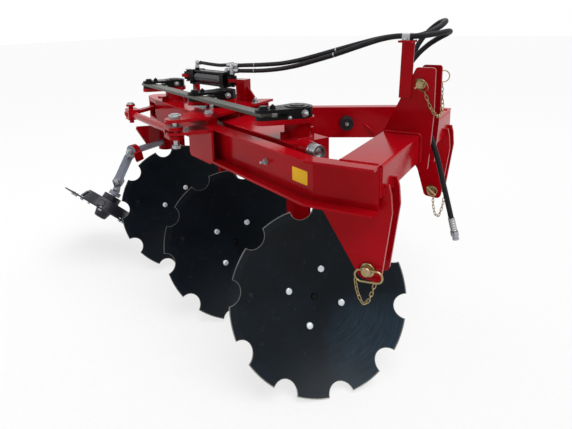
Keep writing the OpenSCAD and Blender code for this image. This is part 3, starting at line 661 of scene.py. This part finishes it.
# Hose routes, in millimetres, as in the part's source
FEED_ROUTE = (
    (-926.5, 145, 574), (-900, 145, 574), (-860, 137, 577), (-780, 108, 583), (-700, 78, 590),
    (-600, 42, 601), (-500, 8, 619), (-400, -22, 643), (-300, -46, 669), (-200, -60, 695),
    (-110, -66, 716), (-45, -66, 724), (16, -66, 724), (54, -52, 735), (84, -14, 754),
    (94, 32, 770), (82, 76, 774), (50, 108, 762), (8, 118, 726), (-24, 100, 672), (-36, 66, 604),
    (-28, 34, 536), (-6, 10, 472), (22, 0, 422), (52, -2, 376), (78, -6, 325), (102, -10, 262),
    (126, -16, 180), (150, -23, 100), (172, -30, 25))
RETURN_ROUTE = (
    (-926.5, 145, 548), (-900, 145, 548), (-860, 136, 550), (-780, 104, 556), (-700, 70, 564),
    (-600, 32, 578), (-500, -6, 598), (-400, -40, 624), (-300, -68, 652), (-200, -86, 684),
    (-110, -94, 712), (-45, -94, 724), (16, -94, 724), (56, -88, 727), (92, -68, 733),
    (114, -34, 738), (118, 4, 737), (102, 38, 728), (70, 60, 712), (30, 66, 686), (-8, 56, 648),
    (-38, 32, 598), (-48, 4, 545), (-36, -14, 492), (-28, -20, 455))
HOSE_STEPS = 6
HOSE_BANDS = (3, 8)
CLAMP_Z = 724
SHELF_TOP = 710


class PLOUGH_OT_stage(bpy.types.Operator):
    """Set the floor, the light and the camera"""

    bl_idname = "plough.stage"
    bl_label = "Set the stage"

    def execute(self, context):
        scene = context.scene
        floor_z = CAD_BOX[0][2] - FLOOR_DROP
        shape = bmesh.new()
        bmesh.ops.create_grid(shape, x_segments=8, y_segments=8, size=FLOOR_REACH,
                              matrix=Matrix.Translation((0, 0, floor_z)))
        mesh = bpy.data.meshes.new("studio_floor")
        shape.to_mesh(mesh)
        shape.free()
        mesh.materials.append(studio_floor("pale_floor", colours().floor))
        floor = bpy.data.objects.new("studio_floor", mesh)
        scene.collection.objects.link(floor)
        self.light(scene)
        self.camera(scene)
        scene.view_settings.view_transform = "Standard"
        return {"FINISHED"}

    def light(self, scene):
        """A soft sky that shows as white, a broad sun, a fill and a rim light."""
        world = bpy.data.worlds.new("studio_sky")
        scene.world = world
        world.use_nodes = True
        tree = world.node_tree
        seen = tree.nodes.new("ShaderNodeBackground")
        mixer = tree.nodes.new("ShaderNodeMixShader")
        skies = ((tree.nodes["Background"], SKY_STRENGTH), (seen, 1.0))
        for i, (sky, strength) in enumerate(skies):
            sky.inputs["Color"].default_value = WHITE
            sky.inputs["Strength"].default_value = strength
            tree.links.new(sky.outputs[0], mixer.inputs[1 + i])
        tree.links.new(seen_rays(tree), mixer.inputs["Fac"])
        tree.links.new(mixer.outputs[0], tree.nodes["World Output"].inputs["Surface"])
        for name, kind, place, power in LAMPS:
            lamp = bpy.data.lights.new(name, kind)
            lamp.energy = power
            if kind == "SUN":
                lamp.angle = SUN_ANGLE
            else:
                lamp.size = AREA_SIZE
            obj = bpy.data.objects.new(name, lamp)
            scene.collection.objects.link(obj)
            turn = (LAMP_AIM - Vector(place)).to_track_quat("-Z", "Y").to_matrix().to_4x4()
            obj.matrix_world = Matrix.Translation(place) @ turn

    def camera(self, scene):
        """The camera at the viewing angle of the picture."""
        yaw, pitch, roll = (radians(angle) for angle in CAMERA_TURN)
        level = cos(pitch)
        ahead = Vector((level * cos(yaw), level * sin(yaw), sin(pitch)))
        right = Vector((sin(yaw), -cos(yaw), 0))
        up = right.cross(ahead)
        across = right * cos(roll) + up * sin(roll)
        above = -right * sin(roll) + up * cos(roll)
        lens = bpy.data.cameras.new("camera")
        lens.sensor_width = CAMERA_SENSOR
        lens.lens = CAMERA_LENS
        lens.shift_x, lens.shift_y = CAMERA_SHIFT
        camera = bpy.data.objects.new("camera", lens)
        camera.matrix_world = Matrix.Translation(CAMERA_PLACE) @ axes(across, above, -ahead).to_4x4()
        scene.collection.objects.link(camera)
        scene.camera = camera


class PLOUGH_OT_finishes(bpy.types.Operator):
    """Make the finishes and put them on the frame's own parts"""

    bl_idname = "plough.finishes"
    bl_label = "Finish the steelwork"

    def execute(self, context):
        paint = colours()
        FINISHES.update(
            red_paint=enamel("frame_red", paint.frame_red),
            black_paint=enamel("gloss_black", paint.gloss_black, 0.26, 0.09, 0.12),
            grey_paint=enamel("arm_grey", paint.arm_grey, 0.36, 0.08, 0.4),
            wheel_paint=enamel("wheel_dark", paint.wheel_dark, 0.36, 0.08, 0.3),
            zinc=plated("bolt_zinc", paint.zinc),
            bright_zinc=plated("bright_zinc", paint.bright_zinc, 0.42, (0.5, 0.53, 0.55)),
            yellow_zinc=plated("yellow_zinc", paint.yellow_zinc, 0.30, (0.44, 0.28, 0.20), 0.45),
            rubber=rubber("black_rubber", paint.rubber),
            bare_steel=mill_steel("mill_steel", paint.bar_steel, BEAM_ANGLE),
            dark_steel=plated("dark_steel", paint.dark_steel, 0.22, (0.05, 0.05, 0.055), 0.5),
            patch=enamel("plain_patch", paint.patch, 0.34))
        slots = {row["node"]: row["material_slot"] for row in frame["record"]["subparts"]}
        for name, obj in NODES.items():
            self.paint(obj, FINISHES.get(slots[name], FINISHES["black_paint"]))
        for station in STATIONS:
            first_notch = FIRST_NOTCH + DISC_TURNS[station]
            dish = dish_steel("dish_" + station, station + "_disc_spin", first_notch, paint.disc_black,
                              paint.bare_steel)
            self.paint(NODES["disc_" + station], dish)
        self.paint(NODES["furrow_wheel"], FINISHES["wheel_paint"])
        return {"FINISHED"}

    def paint(self, obj, material):
        """Gives a part of the frame one finish."""
        obj.data.materials.clear()
        obj.data.materials.append(material)


class PLOUGH_OT_hoses(bpy.types.Operator):
    """Lay the two hydraulic hoses with their bands, saddle and couplings"""

    bl_idname = "plough.hoses"
    bl_label = "Lay the hoses"

    def execute(self, context):
        for name, route in (("feed", FEED_ROUTE), ("return", RETURN_ROUTE)):
            line = smooth_line(path(*route), HOSE_STEPS)
            radius = sizes().hose_diameter / 2
            hose = tube_piece(name + "_hose_line", [line], radius, "rubber", "frame", sides=5)
            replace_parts(hose, name + "_hose")
            end = self.coupling(name, line)
            bands = self.bands(name, line)
        self.saddle()
        return {"FINISHED"}

    def coupling(self, name, line):
        """Crimped ferrule, nut and plug at a hose's free end."""
        place = aimed(line[-1], (line[-1] - line[-2]).normalized())
        shape = bmesh.new()
        ferrule = [(0, -16), (11.2, -16), (12.6, -15)]
        for z in range(-14, 31, 9):
            ferrule += [(12.9, z), (12.9, z + 5), (12.1, z + 6), (12.1, z + 8)]
        ferrule += [(12.9, 31), (12.9, 33), (10.5, 35), (10.5, 37), (0, 37)]
        put(shape, lathe(ferrule), place)
        put(shape, hexagon(29, 16, 0.1), place @ moved(0, 0, 35.5))
        plug = [(0, 50), (12.4, 50), (12.8, 51), (12.8, 57), (11.0, 58), (11.0, 61), (12.8, 62),
                (12.8, 66), (11.4, 69.5), (8.0, 70), (8.0, 62), (0, 61)]
        put(shape, lathe(plug), place)
        end = mesh_piece(name + "_plug", shape, "zinc", "frame")
        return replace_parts(end, name + "_coupling")

    def bands(self, name, line):
        """Bright bands round the hose, and the ferrule at its swivel end."""
        shape = bmesh.new()
        ring = [(10.0, -2.5), (10.7, -2.3), (10.9, 0), (10.7, 2.3), (10.0, 2.5), (10.0, -2.5)]
        for i in HOSE_BANDS:
            at, following = line[i * HOSE_STEPS:i * HOSE_STEPS + 2]
            put(shape, lathe(ring, 24), aimed(at, following - at))
        ferrule = [(9.8, 1), (12.2, 1), (12.5, 3), (12.5, 9), (11.9, 10), (11.9, 13), (12.5, 14),
                   (12.5, 22), (11.4, 25), (9.8, 25), (9.8, 1)]
        put(shape, lathe(ferrule, 24), aimed(line[0], line[1] - line[0]))
        return mesh_piece(name + "_bands", shape, "zinc", "frame")

    def saddle(self):
        """Bent strap that holds both hoses on the post's shelf."""
        reach = 11.6
        bend = [(-49, SHELF_TOP + 1.2), (-54.4, SHELF_TOP + 1.6)]
        for y in (-66, -94):
            for k in range(13):
                angle = radians(-10 + 200 * k / 12)
                bend.append((y + reach * cos(angle), CLAMP_Z + reach * sin(angle)))
        bend += [(-105.6, SHELF_TOP + 1.6), (-111, SHELF_TOP + 1.2)]
        shape = bmesh.new()
        verts = [shape.verts.new(mm(-25, y, z)) for y, z in bend]
        edges = [shape.edges.new(pair) for pair in zip(verts, verts[1:])]
        wide = bmesh.ops.extrude_edge_only(shape, edges=edges)["geom"]
        shift_verts(shape, wide, mm(28, 0, 0))
        bmesh.ops.recalc_face_normals(shape, faces=shape.faces[:])
        bmesh.ops.solidify(shape, geom=shape.faces[:], thickness=0.0022)
        bmesh.ops.recalc_face_normals(shape, faces=shape.faces[:])
        for y in (-50.5, -80, -109.5):
            bolt(shape, mm(-11, y, SHELF_TOP + 2.2), UP, 9, 5, 7)
        strap = mesh_piece("hose_saddle", shape, "zinc", "frame")
        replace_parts(strap, "hose_clamp")


class PLOUGH_OT_discs(bpy.types.Operator):
    """Put the domed bolt heads on the discs"""

    bl_idname = "plough.discs"
    bl_label = "Bolt the discs"

    bolt_circle = 0.104
    sphere_r = 0.6831

    def execute(self, context):
        dome = [(0, 0.2), (13.0, 0.2), (13.2, 1.0), (12.6, 8.4), (11.6, 9.8), (9.2, 10.8), (4.6, 11.3),
                (0, 11.4)]
        lean = asin(self.bolt_circle / self.sphere_r)
        for station in STATIONS:
            body = "disc_" + station
            middle = joint_place(station + "_disc_spin")
            down, side, axis = disc_axes(station + "_disc_spin")
            bowl = middle + axis * self.sphere_r
            shape = bmesh.new()
            for k in range(4):
                angle = FIRST_BOLT + DISC_TURNS[station] + k * pi / 2
                out = down * cos(angle) + side * sin(angle)
                ray = -axis * cos(lean) + out * sin(lean)
                put(shape, lathe(dome, 28), aimed(bowl + ray * self.sphere_r, -ray))
            mesh_piece("disc_bolts_" + station, shape, "bright_zinc", body)
            nut = bmesh.new()
            put(nut, hexagon(20, 5), aimed(middle + axis * 0.0005, axis, 0.3))
            mesh_piece("disc_nut_" + station, nut, "black_paint", body)
        return {"FINISHED"}


class PLOUGH_OT_columns(bpy.types.Operator):
    """Add the clamp bolts, caps and spindle faces of the column levers"""

    bl_idname = "plough.columns"
    bl_label = "Dress the levers"

    lever_len = 141
    hub_r = 58
    lever_low = 434
    lever_top = 473
    stub_top = 476
    clamp_rise = 19
    arm_rise = 6
    lock_back = 38

    def execute(self, context):
        for station in STATIONS:
            body = "column_" + station
            at = joint_place(station + "_column_turn")
            at.z = 0
            bright = bmesh.new()
            self.clamp_bolts(bright, at)
            mesh_piece("clamp_bolts_" + station, bright, "zinc", body)
            dark = bmesh.new()
            self.caps(dark, at)
            mesh_piece("lever_caps_" + station, dark, "black_paint", body)
            face = bmesh.new()
            cap = [(0, 0.2), (26.8, 0.2), (27.4, 0.9), (27.4, 2.0), (26.2, 3.0), (9, 3.2), (8, 2.2),
                   (0, 2.2)]
            put(face, lathe(cap, 40), Matrix.Translation(at + mm(0, 0, self.stub_top)))
            mesh_piece("spindle_face_" + station, face, "black_paint", body)
        return {"FINISHED"}

    def clamp_bolts(self, shape, at):
        """Cross bolt that closes the split hub, and a smaller one on the arm."""
        out = LEVER_SIDE * (self.hub_r / 1000 - 0.001)
        rise = mm(0, 0, self.lever_low + self.clamp_rise)
        bolt(shape, at + out + rise, LEVER_SIDE, 21, 10, 14, 8)
        bolt(shape, at - out + rise, -LEVER_SIDE, 24, 14, 17)
        arm = at + LEVER_DIR * 0.056 + LEVER_SIDE * 0.0465
        slant = (LEVER_SIDE + LEVER_DIR * 0.18).normalized()
        bolt(shape, arm + mm(0, 0, self.lever_low + self.arm_rise), slant, 12, 5, 8, 5)

    def caps(self, shape, at):
        """Nut and washer on the tie pin, a locking bolt beside it and the lid of the hub."""
        pin = at + LEVER_DIR * (self.lever_len / 1000)
        put(shape, washer(21), Matrix.Translation(pin + mm(0, 0, self.lever_top)))
        put(shape, hexagon(28, 9), Matrix.Translation(pin + mm(0, 0, self.lever_top + WASHER_SEAT)))
        lock = at + LEVER_DIR * ((self.lever_len - self.lock_back) / 1000)
        bolt(shape, lock + mm(0, 0, self.lever_top), UP, 17, 8, 12, 4)
        lid = [(27.6, 0.1), (47, 0.1), (48.2, 0.8), (48.2, 2.2), (47, 3.2), (29, 3.4), (27.8, 2.4),
               (27.6, 0.1)]
        put(shape, lathe(lid, 48), Matrix.Translation(at + mm(0, 0, self.lever_top)))


class PLOUGH_OT_cylinder(bpy.types.Operator):
    """Add the tube, nuts, elbows, swivel, short hose and pin caps of the cylinder"""

    bl_idname = "plough.cylinder"
    bl_label = "Dress the cylinder"

    cap_from = 30
    barrel_end = 318
    rod_nut = 31
    high_port = 47
    low_port = 39
    high_z = 74
    low_z = 49
    eye_at = 395
    port_line = ((283, 0, 75), (240, 0, 73), (170, 0, 70), (100, 0, 69), (55, 0, 72), (30, 0, 74))
    pin_cap = ((0, 0), (13, 0), (14, 1), (14, 4), (12.6, 5.4), (0, 5.6))

    def execute(self, context):
        base = joint_place("cylinder_swing")
        along = joint_axis("rod_slide")
        turn = Matrix.Translation(base) @ turned(atan2(along.y, along.x), "Z")
        dark = bmesh.new()
        for y in (-self.rod_nut, self.rod_nut):
            for z in (-self.rod_nut, self.rod_nut):
                put(dark, hexagon(16, 7), turn @ aimed(mm(self.barrel_end, y, z), (1, 0, 0), 0.4))
                put(dark, hexagon(16, 7), turn @ aimed(mm(self.cap_from, y, z), (-1, 0, 0), 0.1))
        gland = [(16.6, 0), (27, 0), (27.6, 1), (27.6, 6), (26, 8), (18, 8), (16.6, 7), (16.6, 0)]
        put(dark, lathe(gland, 32), turn @ aimed(mm(self.barrel_end, 0, 0), (1, 0, 0)))
        mesh_piece("tie_rod_nuts", dark, "black_paint", "barrel")
        tube = bmesh.new()
        sleeve = [(35.6, 62), (36.6, 62.6), (36.6, 285.4), (35.6, 286), (35.6, 62)]
        put(tube, lathe(sleeve, 64), turn @ aimed((0, 0, 0), (1, 0, 0)))
        mesh_piece("cylinder_tube", tube, "dark_steel", "barrel")
        fittings = bmesh.new()
        self.fittings(fittings, turn)
        ports = mesh_piece("port_fittings", fittings, "zinc", "barrel")
        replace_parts(ports, "cylinder_ports")
        line = smooth_line([turn @ point for point in path(*self.port_line)], 6)
        tube_piece("port_hose", [line], 0.0088, "rubber", "barrel")
        self.pin_caps("base_pin_caps", turn, "barrel")
        self.pin_caps("rod_pin_caps", turn @ moved(self.eye_at, 0, 0), "rod")
        return {"FINISHED"}

    def pin_caps(self, name, place, body):
        """Round caps on both ends of one of the cylinder's pins."""
        shape = bmesh.new()
        for z, way in ((29, 1), (-29, -1)):
            put(shape, lathe(self.pin_cap, 28), place @ aimed(mm(0, 0, z), (0, 0, way)))
        mesh_piece(name, shape, "zinc", body)

    def fittings(self, shape, turn):
        """Two elbows, their nuts and the swivel on the base pin's axis."""
        for x, low, top in ((self.barrel_end - 15, self.high_port, self.high_z + 9),
                            (self.cap_from + 15, self.low_port, self.low_z + 9)):
            high = top - low
            stem = [(0, 0), (12.5, 0), (12.5, 2), (10, 3), (10, high - 3), (8, high), (0, high)]
            put(shape, lathe(stem, 24), turn @ moved(x, 0, low))
            put(shape, hexagon(24, 7, 0.1), turn @ moved(x, 0, low + 0.5))
        run = [(0, 0), (8.4, 0), (9.6, 2), (9.6, 14), (12, 15), (12, 34), (10, 36), (0, 36)]
        put(shape, lathe(run, 24), turn @ aimed(mm(self.barrel_end - 10, 0, self.high_z), (-1, 0, 0)))
        short = [(0, 0), (8.4, 0), (9.4, 2), (9.4, 40), (0, 42)]
        put(shape, lathe(short, 24), turn @ aimed(mm(self.cap_from + 20, 0, self.low_z), (-1, 0, 0)))
        ferrule = [(0, 0), (11.6, 0), (12, 1), (12, 24), (10, 26), (0, 26)]
        put(shape, lathe(ferrule, 24), turn @ aimed(mm(6, 0, self.high_z), (1, 0, 0)))
        swivel = [(0, 35), (12, 35), (13, 36), (13, 42), (11.8, 43), (11.8, 58), (13, 59), (13, 66),
                  (12.4, 67), (12.4, 82), (11, 84), (9.5, 84), (9.5, 89), (0, 89)]
        put(shape, lathe(swivel, 28), turn)


class PLOUGH_OT_bolts(bpy.types.Operator):
    """Add the bolts of the bridge and the buffers, and the bridge's pad"""

    bl_idname = "plough.bolts"
    bl_label = "Bolt the frame"

    bridge_top = 398
    buffer_at = 272
    buffer_z = 283
    buffer_depth = 46
    bridge_spots = ((-944, 178), (-800, 132), (-946, -92), (-845, -186))
    link_spot = (-900, -343)
    pad_spot = (-976, -70)

    def execute(self, context):
        shape = bmesh.new()
        for i, (x, y) in enumerate(self.bridge_spots):
            low = y < 0
            height, stud = (11, 0) if low else (15, 8)
            bolt(shape, mm(x, y, self.bridge_top), UP, 26, height, 20, stud, 0.4 * i)
        for side in SIDES:
            self.buffer_bolt(shape, side)
        bolt(shape, mm(*self.link_spot, self.bridge_top + 12), UP, 30, 6, 27)
        mesh_piece("frame_bolts", shape, "zinc", "frame")
        pad = bmesh.new()
        place = moved(*self.pad_spot, self.bridge_top) @ turned(0.2, "Z")
        put(pad, plate(rounded_plan(70, 46, 5), 9, 1.2), place)
        mesh_piece("bridge_pad", pad, "zinc", "frame", crease=FLAT_CREASE)
        return {"FINISHED"}

    def buffer_bolt(self, shape, side):
        """Bolt of a buffer: its nut on the web's outer face and its head sunk in the rubber."""
        nut = channel_point(self.buffer_at, 0.2, self.buffer_z, side)
        bolt(shape, nut, channel_normal(side), 19, 9, 13, 16)
        head = channel_point(self.buffer_at, -self.buffer_depth, self.buffer_z, side)
        bolt(shape, head, -channel_normal(side), 15, 8, 11)


class PLOUGH_OT_pins(bpy.types.Operator):
    """Add the collars, rings and chains of the hitch pins"""

    bl_idname = "plough.pins"
    bl_label = "Chain the pins"

    def execute(self, context):
        shape = bmesh.new()
        self.near_pin(shape)
        self.far_pin(shape)
        self.top_pin(shape)
        mesh_piece("pin_chains", shape, "yellow_zinc", "frame")
        return {"FINISHED"}

    def near_pin(self, shape):
        """Collar and end of the right lower pin, its drop handle and the chain on it."""
        out = (0, -1, 0)
        collar = [(14.4, 0), (23, 0), (24, 1.2), (24, 7), (22.6, 8.6), (14.4, 8.6), (14.4, 0)]
        put(shape, lathe(collar, 36), aimed(mm(0, -484.3, 0), out))
        face = [(0, 0), (15.6, 0), (16.4, 1), (16.4, 5), (14.4, 7.4), (9, 8.2), (0, 8.2)]
        put(shape, lathe(face, 32), aimed(mm(0, -503, 0), out))
        ring = moved(8, -503, -14) @ turned(radians(-6), "Y")
        put(shape, wire_loop(20, 3.4, 26, sides=10), ring @ turned(pi / 2, "X"))
        chain(shape, path((-36, -503, -30), (-32, -503, -62), (-20, -503, -98), (-6, -503, -116),
                          (10, -503, -100), (22, -503, -66), (30, -503, -36)))

    def far_pin(self, shape):
        """Linch pin through the left lower pin, and its chain."""
        stem = [(0, 0), (4.5, 0), (4.5, 52), (3, 54), (0, 54)]
        put(shape, lathe(stem, 16), aimed(mm(-16, 366, 14), Vector((0.75, 0, -0.66))))
        bow = moved(9, 364, -2) @ turned(pi / 2, "X")
        put(shape, wire_loop(21, 2.3, 0, steps=28), bow @ turned(0.35, "Y"))
        chain(shape, path((16, 366, -24), (15, 366, -58), (24, 366, -104), (37, 366, -124),
                          (50, 366, -100), (60, 368, -52), (62, 372, -14)))

    def top_pin(self, shape):
        """Rings at both ends of the top pin, and the chain between them round the mast's edge."""
        collar = [(12.8, 0), (18, 0), (18.6, 0.8), (18.6, 3.4), (17.6, 4.2), (12.8, 4.2), (12.8, 0)]
        put(shape, lathe(collar, 28), aimed(mm(39, -60.2, 551), (0, -1, 0)))
        upright = turned(pi / 2, "X")
        lean = turned(radians(28), "X") @ turned(radians(-24), "Y")
        put(shape, wire_loop(25, 2.2, 2), moved(46, -80, 549) @ upright @ lean)
        stem = [(0, 0), (4, 0), (4, 40), (0, 42)]
        put(shape, lathe(stem, 14), aimed(mm(22, -80, 536), Vector((0.8, 0, 0.6))))
        tilt = turned(0.5, "Y")
        put(shape, wire_loop(22, 2.2, 6), moved(84, 80, 566) @ upright @ tilt)
        chain(shape, path((56, -72, 526), (66, -68, 496), (80, -66, 464), (95, -64, 442), (100, -40, 432),
                          (99, 0, 428), (98, 40, 436), (94, 66, 462), (88, 72, 500), (86, 78, 540)))


class PLOUGH_OT_welds(bpy.types.Operator):
    """Run the weld beads, and add the hook and the plug in the beam's front end"""

    bl_idname = "plough.welds"
    bl_label = "Weld the frame"

    bead_step = 0.0026
    bead_ripple = 0.09

    def execute(self, context):
        size = sizes().weld_size
        self.bead("mast_welds", self.mast_runs(), size * 1.5, "frame")
        self.bead("cross_beam_welds", self.cross_runs(), size * 0.8, "frame")
        self.bead("hitch_plate_welds", self.hitch_runs(), size * 0.8, "frame")
        self.bead("bridge_welds", self.bridge_runs(), size * 0.75, "frame")
        self.bead("housing_welds", self.housing_runs(), size * 0.8, "beam")
        self.hook()
        self.end_ring()
        return {"FINISHED"}

    def bead(self, name, runs, radius, body):
        """One piece of weld beads."""
        lines = [even_line(run, self.bead_step) for run in runs]
        tube_piece(name, lines, radius, "red_paint", body, self.bead_ripple, sides=2)

    def mast_runs(self):
        """Beads along the foot of each mast plate, over the cross beam's corner and down its front."""
        corner = [radians(90 - 90 * k / 6) for k in range(1, 6)]
        for y in (-64, -44, 44, 64):
            bend = [mm(37 + 11 * cos(a), y, 352 + 11 * sin(a)) for a in corner]
            yield path((-90, y, 363), (37, y, 363)) + bend + path((48, y, 352), (48, y, 256))

    def cross_runs(self):
        """Beads between the cross beam and the channels."""
        for side in SIDES:
            y = side * 499.6
            yield path((-95, y, 360.2), (30, y, 360.2))
            yield path((-103.2, y, 350), (-103.2, y, 256))
            yield path((38, side * 501, 352), (38, side * 501, 256))
            yield path((-92, y, 252.6), (30, y, 252.6))

    def hitch_runs(self):
        """Beads up the cross beam's front face and under it, beside the hitch plates."""
        for side in SIDES:
            for y in (383, 397, 471, 485):
                yield path((45.6, side * y, 284), (45.6, side * y, 258))
                yield path((40, side * y, 252.4), (-90, side * y, 252.4))

    def bridge_runs(self):
        """Beads round the cylinder bracket's foot and along the boxed ends of the channels."""
        yield path((-902.5, 117, 398.5), (-851.5, 117, 398.5), (-851.5, 173.5, 398.5),
                   (-902.5, 173.5, 398.5), (-902.5, 117, 398.5))
        for side in SIDES:
            yield [channel_point(611.5, 42, z, side) for z in (214, 352)]
            yield [channel_point(dist, 36, 360.4, side) for dist in (660, 824)]

    def housing_runs(self):
        """Beads round the outer column housings and the front boss of the beam."""
        turn = [tau * k / 48 for k in range(49)]
        for along in (578, -578):
            yield [beam_place(along + 52.5 * cos(a), 52.5 * sin(a), 355) for a in turn]
        yield [beam_place(664, -43 + 33.5 * cos(a), 334 + 33.5 * sin(a)) for a in turn]

    def end_ring(self):
        """Turned grooves and the plug of the ring on the beam's front end."""
        along = Vector((cos(BEAM_ANGLE), sin(BEAM_ANGLE), 0))
        place = aimed(beam_place(723, -43, 334), along)
        shape = bmesh.new()
        for low in (14, 22, 30):
            rib = [(27.6, low), (29.0, low + 0.6), (29.0, low + 4.4), (27.6, low + 5), (27.6, low)]
            put(shape, lathe(rib, 48), place)
        plug = [(0, 29.8), (19.5, 29.8), (19.5, 31), (16.5, 33), (0, 33.4)]
        put(shape, lathe(plug, 36), place)
        put(shape, hexagon(19, 5), place @ moved(0, 0, 33))
        mesh_piece("beam_end_plug", shape, "zinc", "beam")

    def hook(self):
        """Small bent hook inside the left channel."""
        points = path((-292, 438, 216), (-300, 434, 232), (-316, 428, 250), (-336, 424, 264),
                      (-346, 424, 268))
        tube_piece("hose_hook", [smooth_line(points, 8)], 0.0065, "red_paint", "frame")


class PLOUGH_OT_wheel(bpy.types.Operator):
    """Add the bolts, straps and clamp of the furrow wheel"""

    bl_idname = "plough.wheel"
    bl_label = "Dress the furrow wheel"

    flange_bolts = 10
    bolt_circle = 196
    straps = 6
    strap_r = 143.5
    strap_z = 26
    strap_lean = atan2(26, 58)
    shaft_end = mm(-1568.5, 64, 85)
    clamp_bolt = mm(-1568.5, 16.2, 85)
    arm_top = mm(-1637, 72, 30)
    arm_low = mm(-1660, 0, -92)
    arm_face = Vector((0.42, -0.88, 0.2)).normalized()

    def execute(self, context):
        place = aimed(joint_place("furrow_wheel_spin"), joint_axis("furrow_wheel_spin"))
        bolts = bmesh.new()
        for k in range(self.flange_bolts):
            angle = tau * k / self.flange_bolts
            spot = mm(self.bolt_circle * cos(angle), self.bolt_circle * sin(angle), -4)
            put(bolts, hexagon(17, 9), place @ aimed(spot, (0, 0, -1), angle))
            spot.z = 0.004
            put(bolts, washer(12), place @ aimed(spot, (0, 0, 1)))
        mesh_piece("wheel_bolts", bolts, "zinc", "furrow_wheel")
        straps = bmesh.new()
        for k in range(self.straps):
            angle = tau * k / self.straps + 0.3
            turn = turned(angle, "Z") @ moved(self.strap_r, 0, self.strap_z)
            face = turn @ turned(pi / 2 - self.strap_lean, "Y")
            put(straps, plate(rounded_plan(40, 34, 3, 3), 4, 0.8), place @ face)
        mesh_piece("drum_straps", straps, "wheel_paint", "furrow_wheel")
        cap = bmesh.new()
        profile = [(0, -40), (12, -40), (13, -42), (20, -46), (26, -45), (30, -42.5), (33, -42.2),
                   (33, -41.8), (0, -41.8)]
        put(cap, lathe(profile, 36), place)
        mesh_piece("hub_cap", cap, "wheel_paint", "furrow_wheel")
        self.arm_bolts()
        self.arm_plate()
        self.shaft_collar()
        self.link_cap()
        return {"FINISHED"}

    def arm_bolts(self):
        """Bolts of the hanging arm and the end of the cross shaft."""
        shape = bmesh.new()
        out = self.arm_face
        bolt(shape, self.arm_low + out * 0.024, out, 24, 12, 18)
        bolt(shape, mm(-1674, -8, -140) + out * 0.012, out, 22, 11, 16)
        bolt(shape, self.clamp_bolt, (0, -1, 0), 28, 12, 20, 6)
        bolt(shape, mm(-1628, 84, 40) + out * 0.012, out, 20, 10, 15)
        mesh_piece("arm_bolts", shape, "zinc", "wheel_carrier")

    def arm_plate(self):
        """Flat plate down the hanging arm's face."""
        shape = bmesh.new()
        span = self.arm_top - self.arm_low
        rise = span.normalized()
        face = (self.arm_face - rise * self.arm_face.dot(rise)).normalized()
        turn = axes(rise.cross(face), rise, face).to_4x4()
        middle = (self.arm_top + self.arm_low) / 2 + face * 0.006
        plan = rounded_plan(50, span.length * 1000 + 30, 14)
        put(shape, plate(plan, 10, 1.2), Matrix.Translation(middle) @ turn)
        mesh_piece("arm_plate", shape, "grey_paint", "wheel_carrier", crease=FLAT_CREASE)

    def shaft_collar(self):
        """Collar on the cross shaft and the clamp plate beside it."""
        shape = bmesh.new()
        ring = [(33.9, 0), (36.4, 0), (37.2, 0.8), (37.2, 33), (36.4, 34), (33.9, 34), (33.9, 0)]
        put(shape, lathe(ring, 48), aimed(self.shaft_end, (0, -1, 0)))
        clamp = plate(rounded_plan(46, 60, 6, 4), 12, 1.2)
        put(shape, clamp, aimed(mm(-1533, 46, 62), (1, -0.35, -0.3), 0.3))
        mesh_piece("shaft_collar", shape, "red_paint", "wheel_carrier", crease=FLAT_CREASE)

    def link_cap(self):
        """Washer and nut on the steering link's rear pin."""
        shape = bmesh.new()
        place = moved(-1537, 25, 357.8)
        put(shape, washer(22), place)
        put(shape, hexagon(30, 7), place @ moved(0, 0, WASHER_SEAT))
        mesh_piece("link_bolt_cap", shape, "zinc", "steering_link")


class PLOUGH_OT_patch(bpy.types.Operator):
    """Put a plain patch on the near channel's web"""

    bl_idname = "plough.patch"
    bl_label = "Add the plain patch"

    spot = (70, 0, 279)
    plan = (84, 49, 4)

    def execute(self, context):
        shape = bmesh.new()
        normal = channel_normal(-1)
        turn = axes(UP.cross(normal), UP, normal).to_4x4()
        place = Matrix.Translation(channel_point(*self.spot, -1)) @ turn
        put(shape, plate(rounded_plan(*self.plan), 0.8, 0.2), place)
        mesh_piece("plain_patch", shape, "patch", "frame", crease=FLAT_CREASE)
        return {"FINISHED"}


class PLOUGH_PT_panel(bpy.types.Panel):
    """Steps that dress the plough"""

    bl_label = "Disc Plough"
    bl_idname = "PLOUGH_PT_panel"
    bl_space_type = "VIEW_3D"
    bl_region_type = "UI"
    bl_category = "Disc Plough"

    def draw(self, context):
        column = self.layout.column()
        for step in STEPS:
            column.operator(step.bl_idname)


STEPS = (PLOUGH_OT_stage, PLOUGH_OT_finishes, PLOUGH_OT_hoses, PLOUGH_OT_discs, PLOUGH_OT_columns,
         PLOUGH_OT_cylinder, PLOUGH_OT_bolts, PLOUGH_OT_pins, PLOUGH_OT_welds, PLOUGH_OT_wheel,
         PLOUGH_OT_patch)
CLASSES = (PloughColours, PloughSizes, *STEPS, PLOUGH_PT_panel)


def register():
    """Adds the settings, the steps and the panel."""
    for kind in CLASSES:
        bpy.utils.register_class(kind)
    bpy.types.Scene.plough_colours = PointerProperty(type=PloughColours)
    bpy.types.Scene.plough_sizes = PointerProperty(type=PloughSizes)


def unregister():
    """Takes them away again."""
    del bpy.types.Scene.plough_colours
    del bpy.types.Scene.plough_sizes
    for kind in reversed(CLASSES):
        bpy.utils.unregister_class(kind)


def main():
    """Runs every step in order."""
    register()
    for step in STEPS:
        group, name = step.bl_idname.split(".")
        getattr(getattr(bpy.ops, group), name)()


if __name__ == "__main__":
    main()
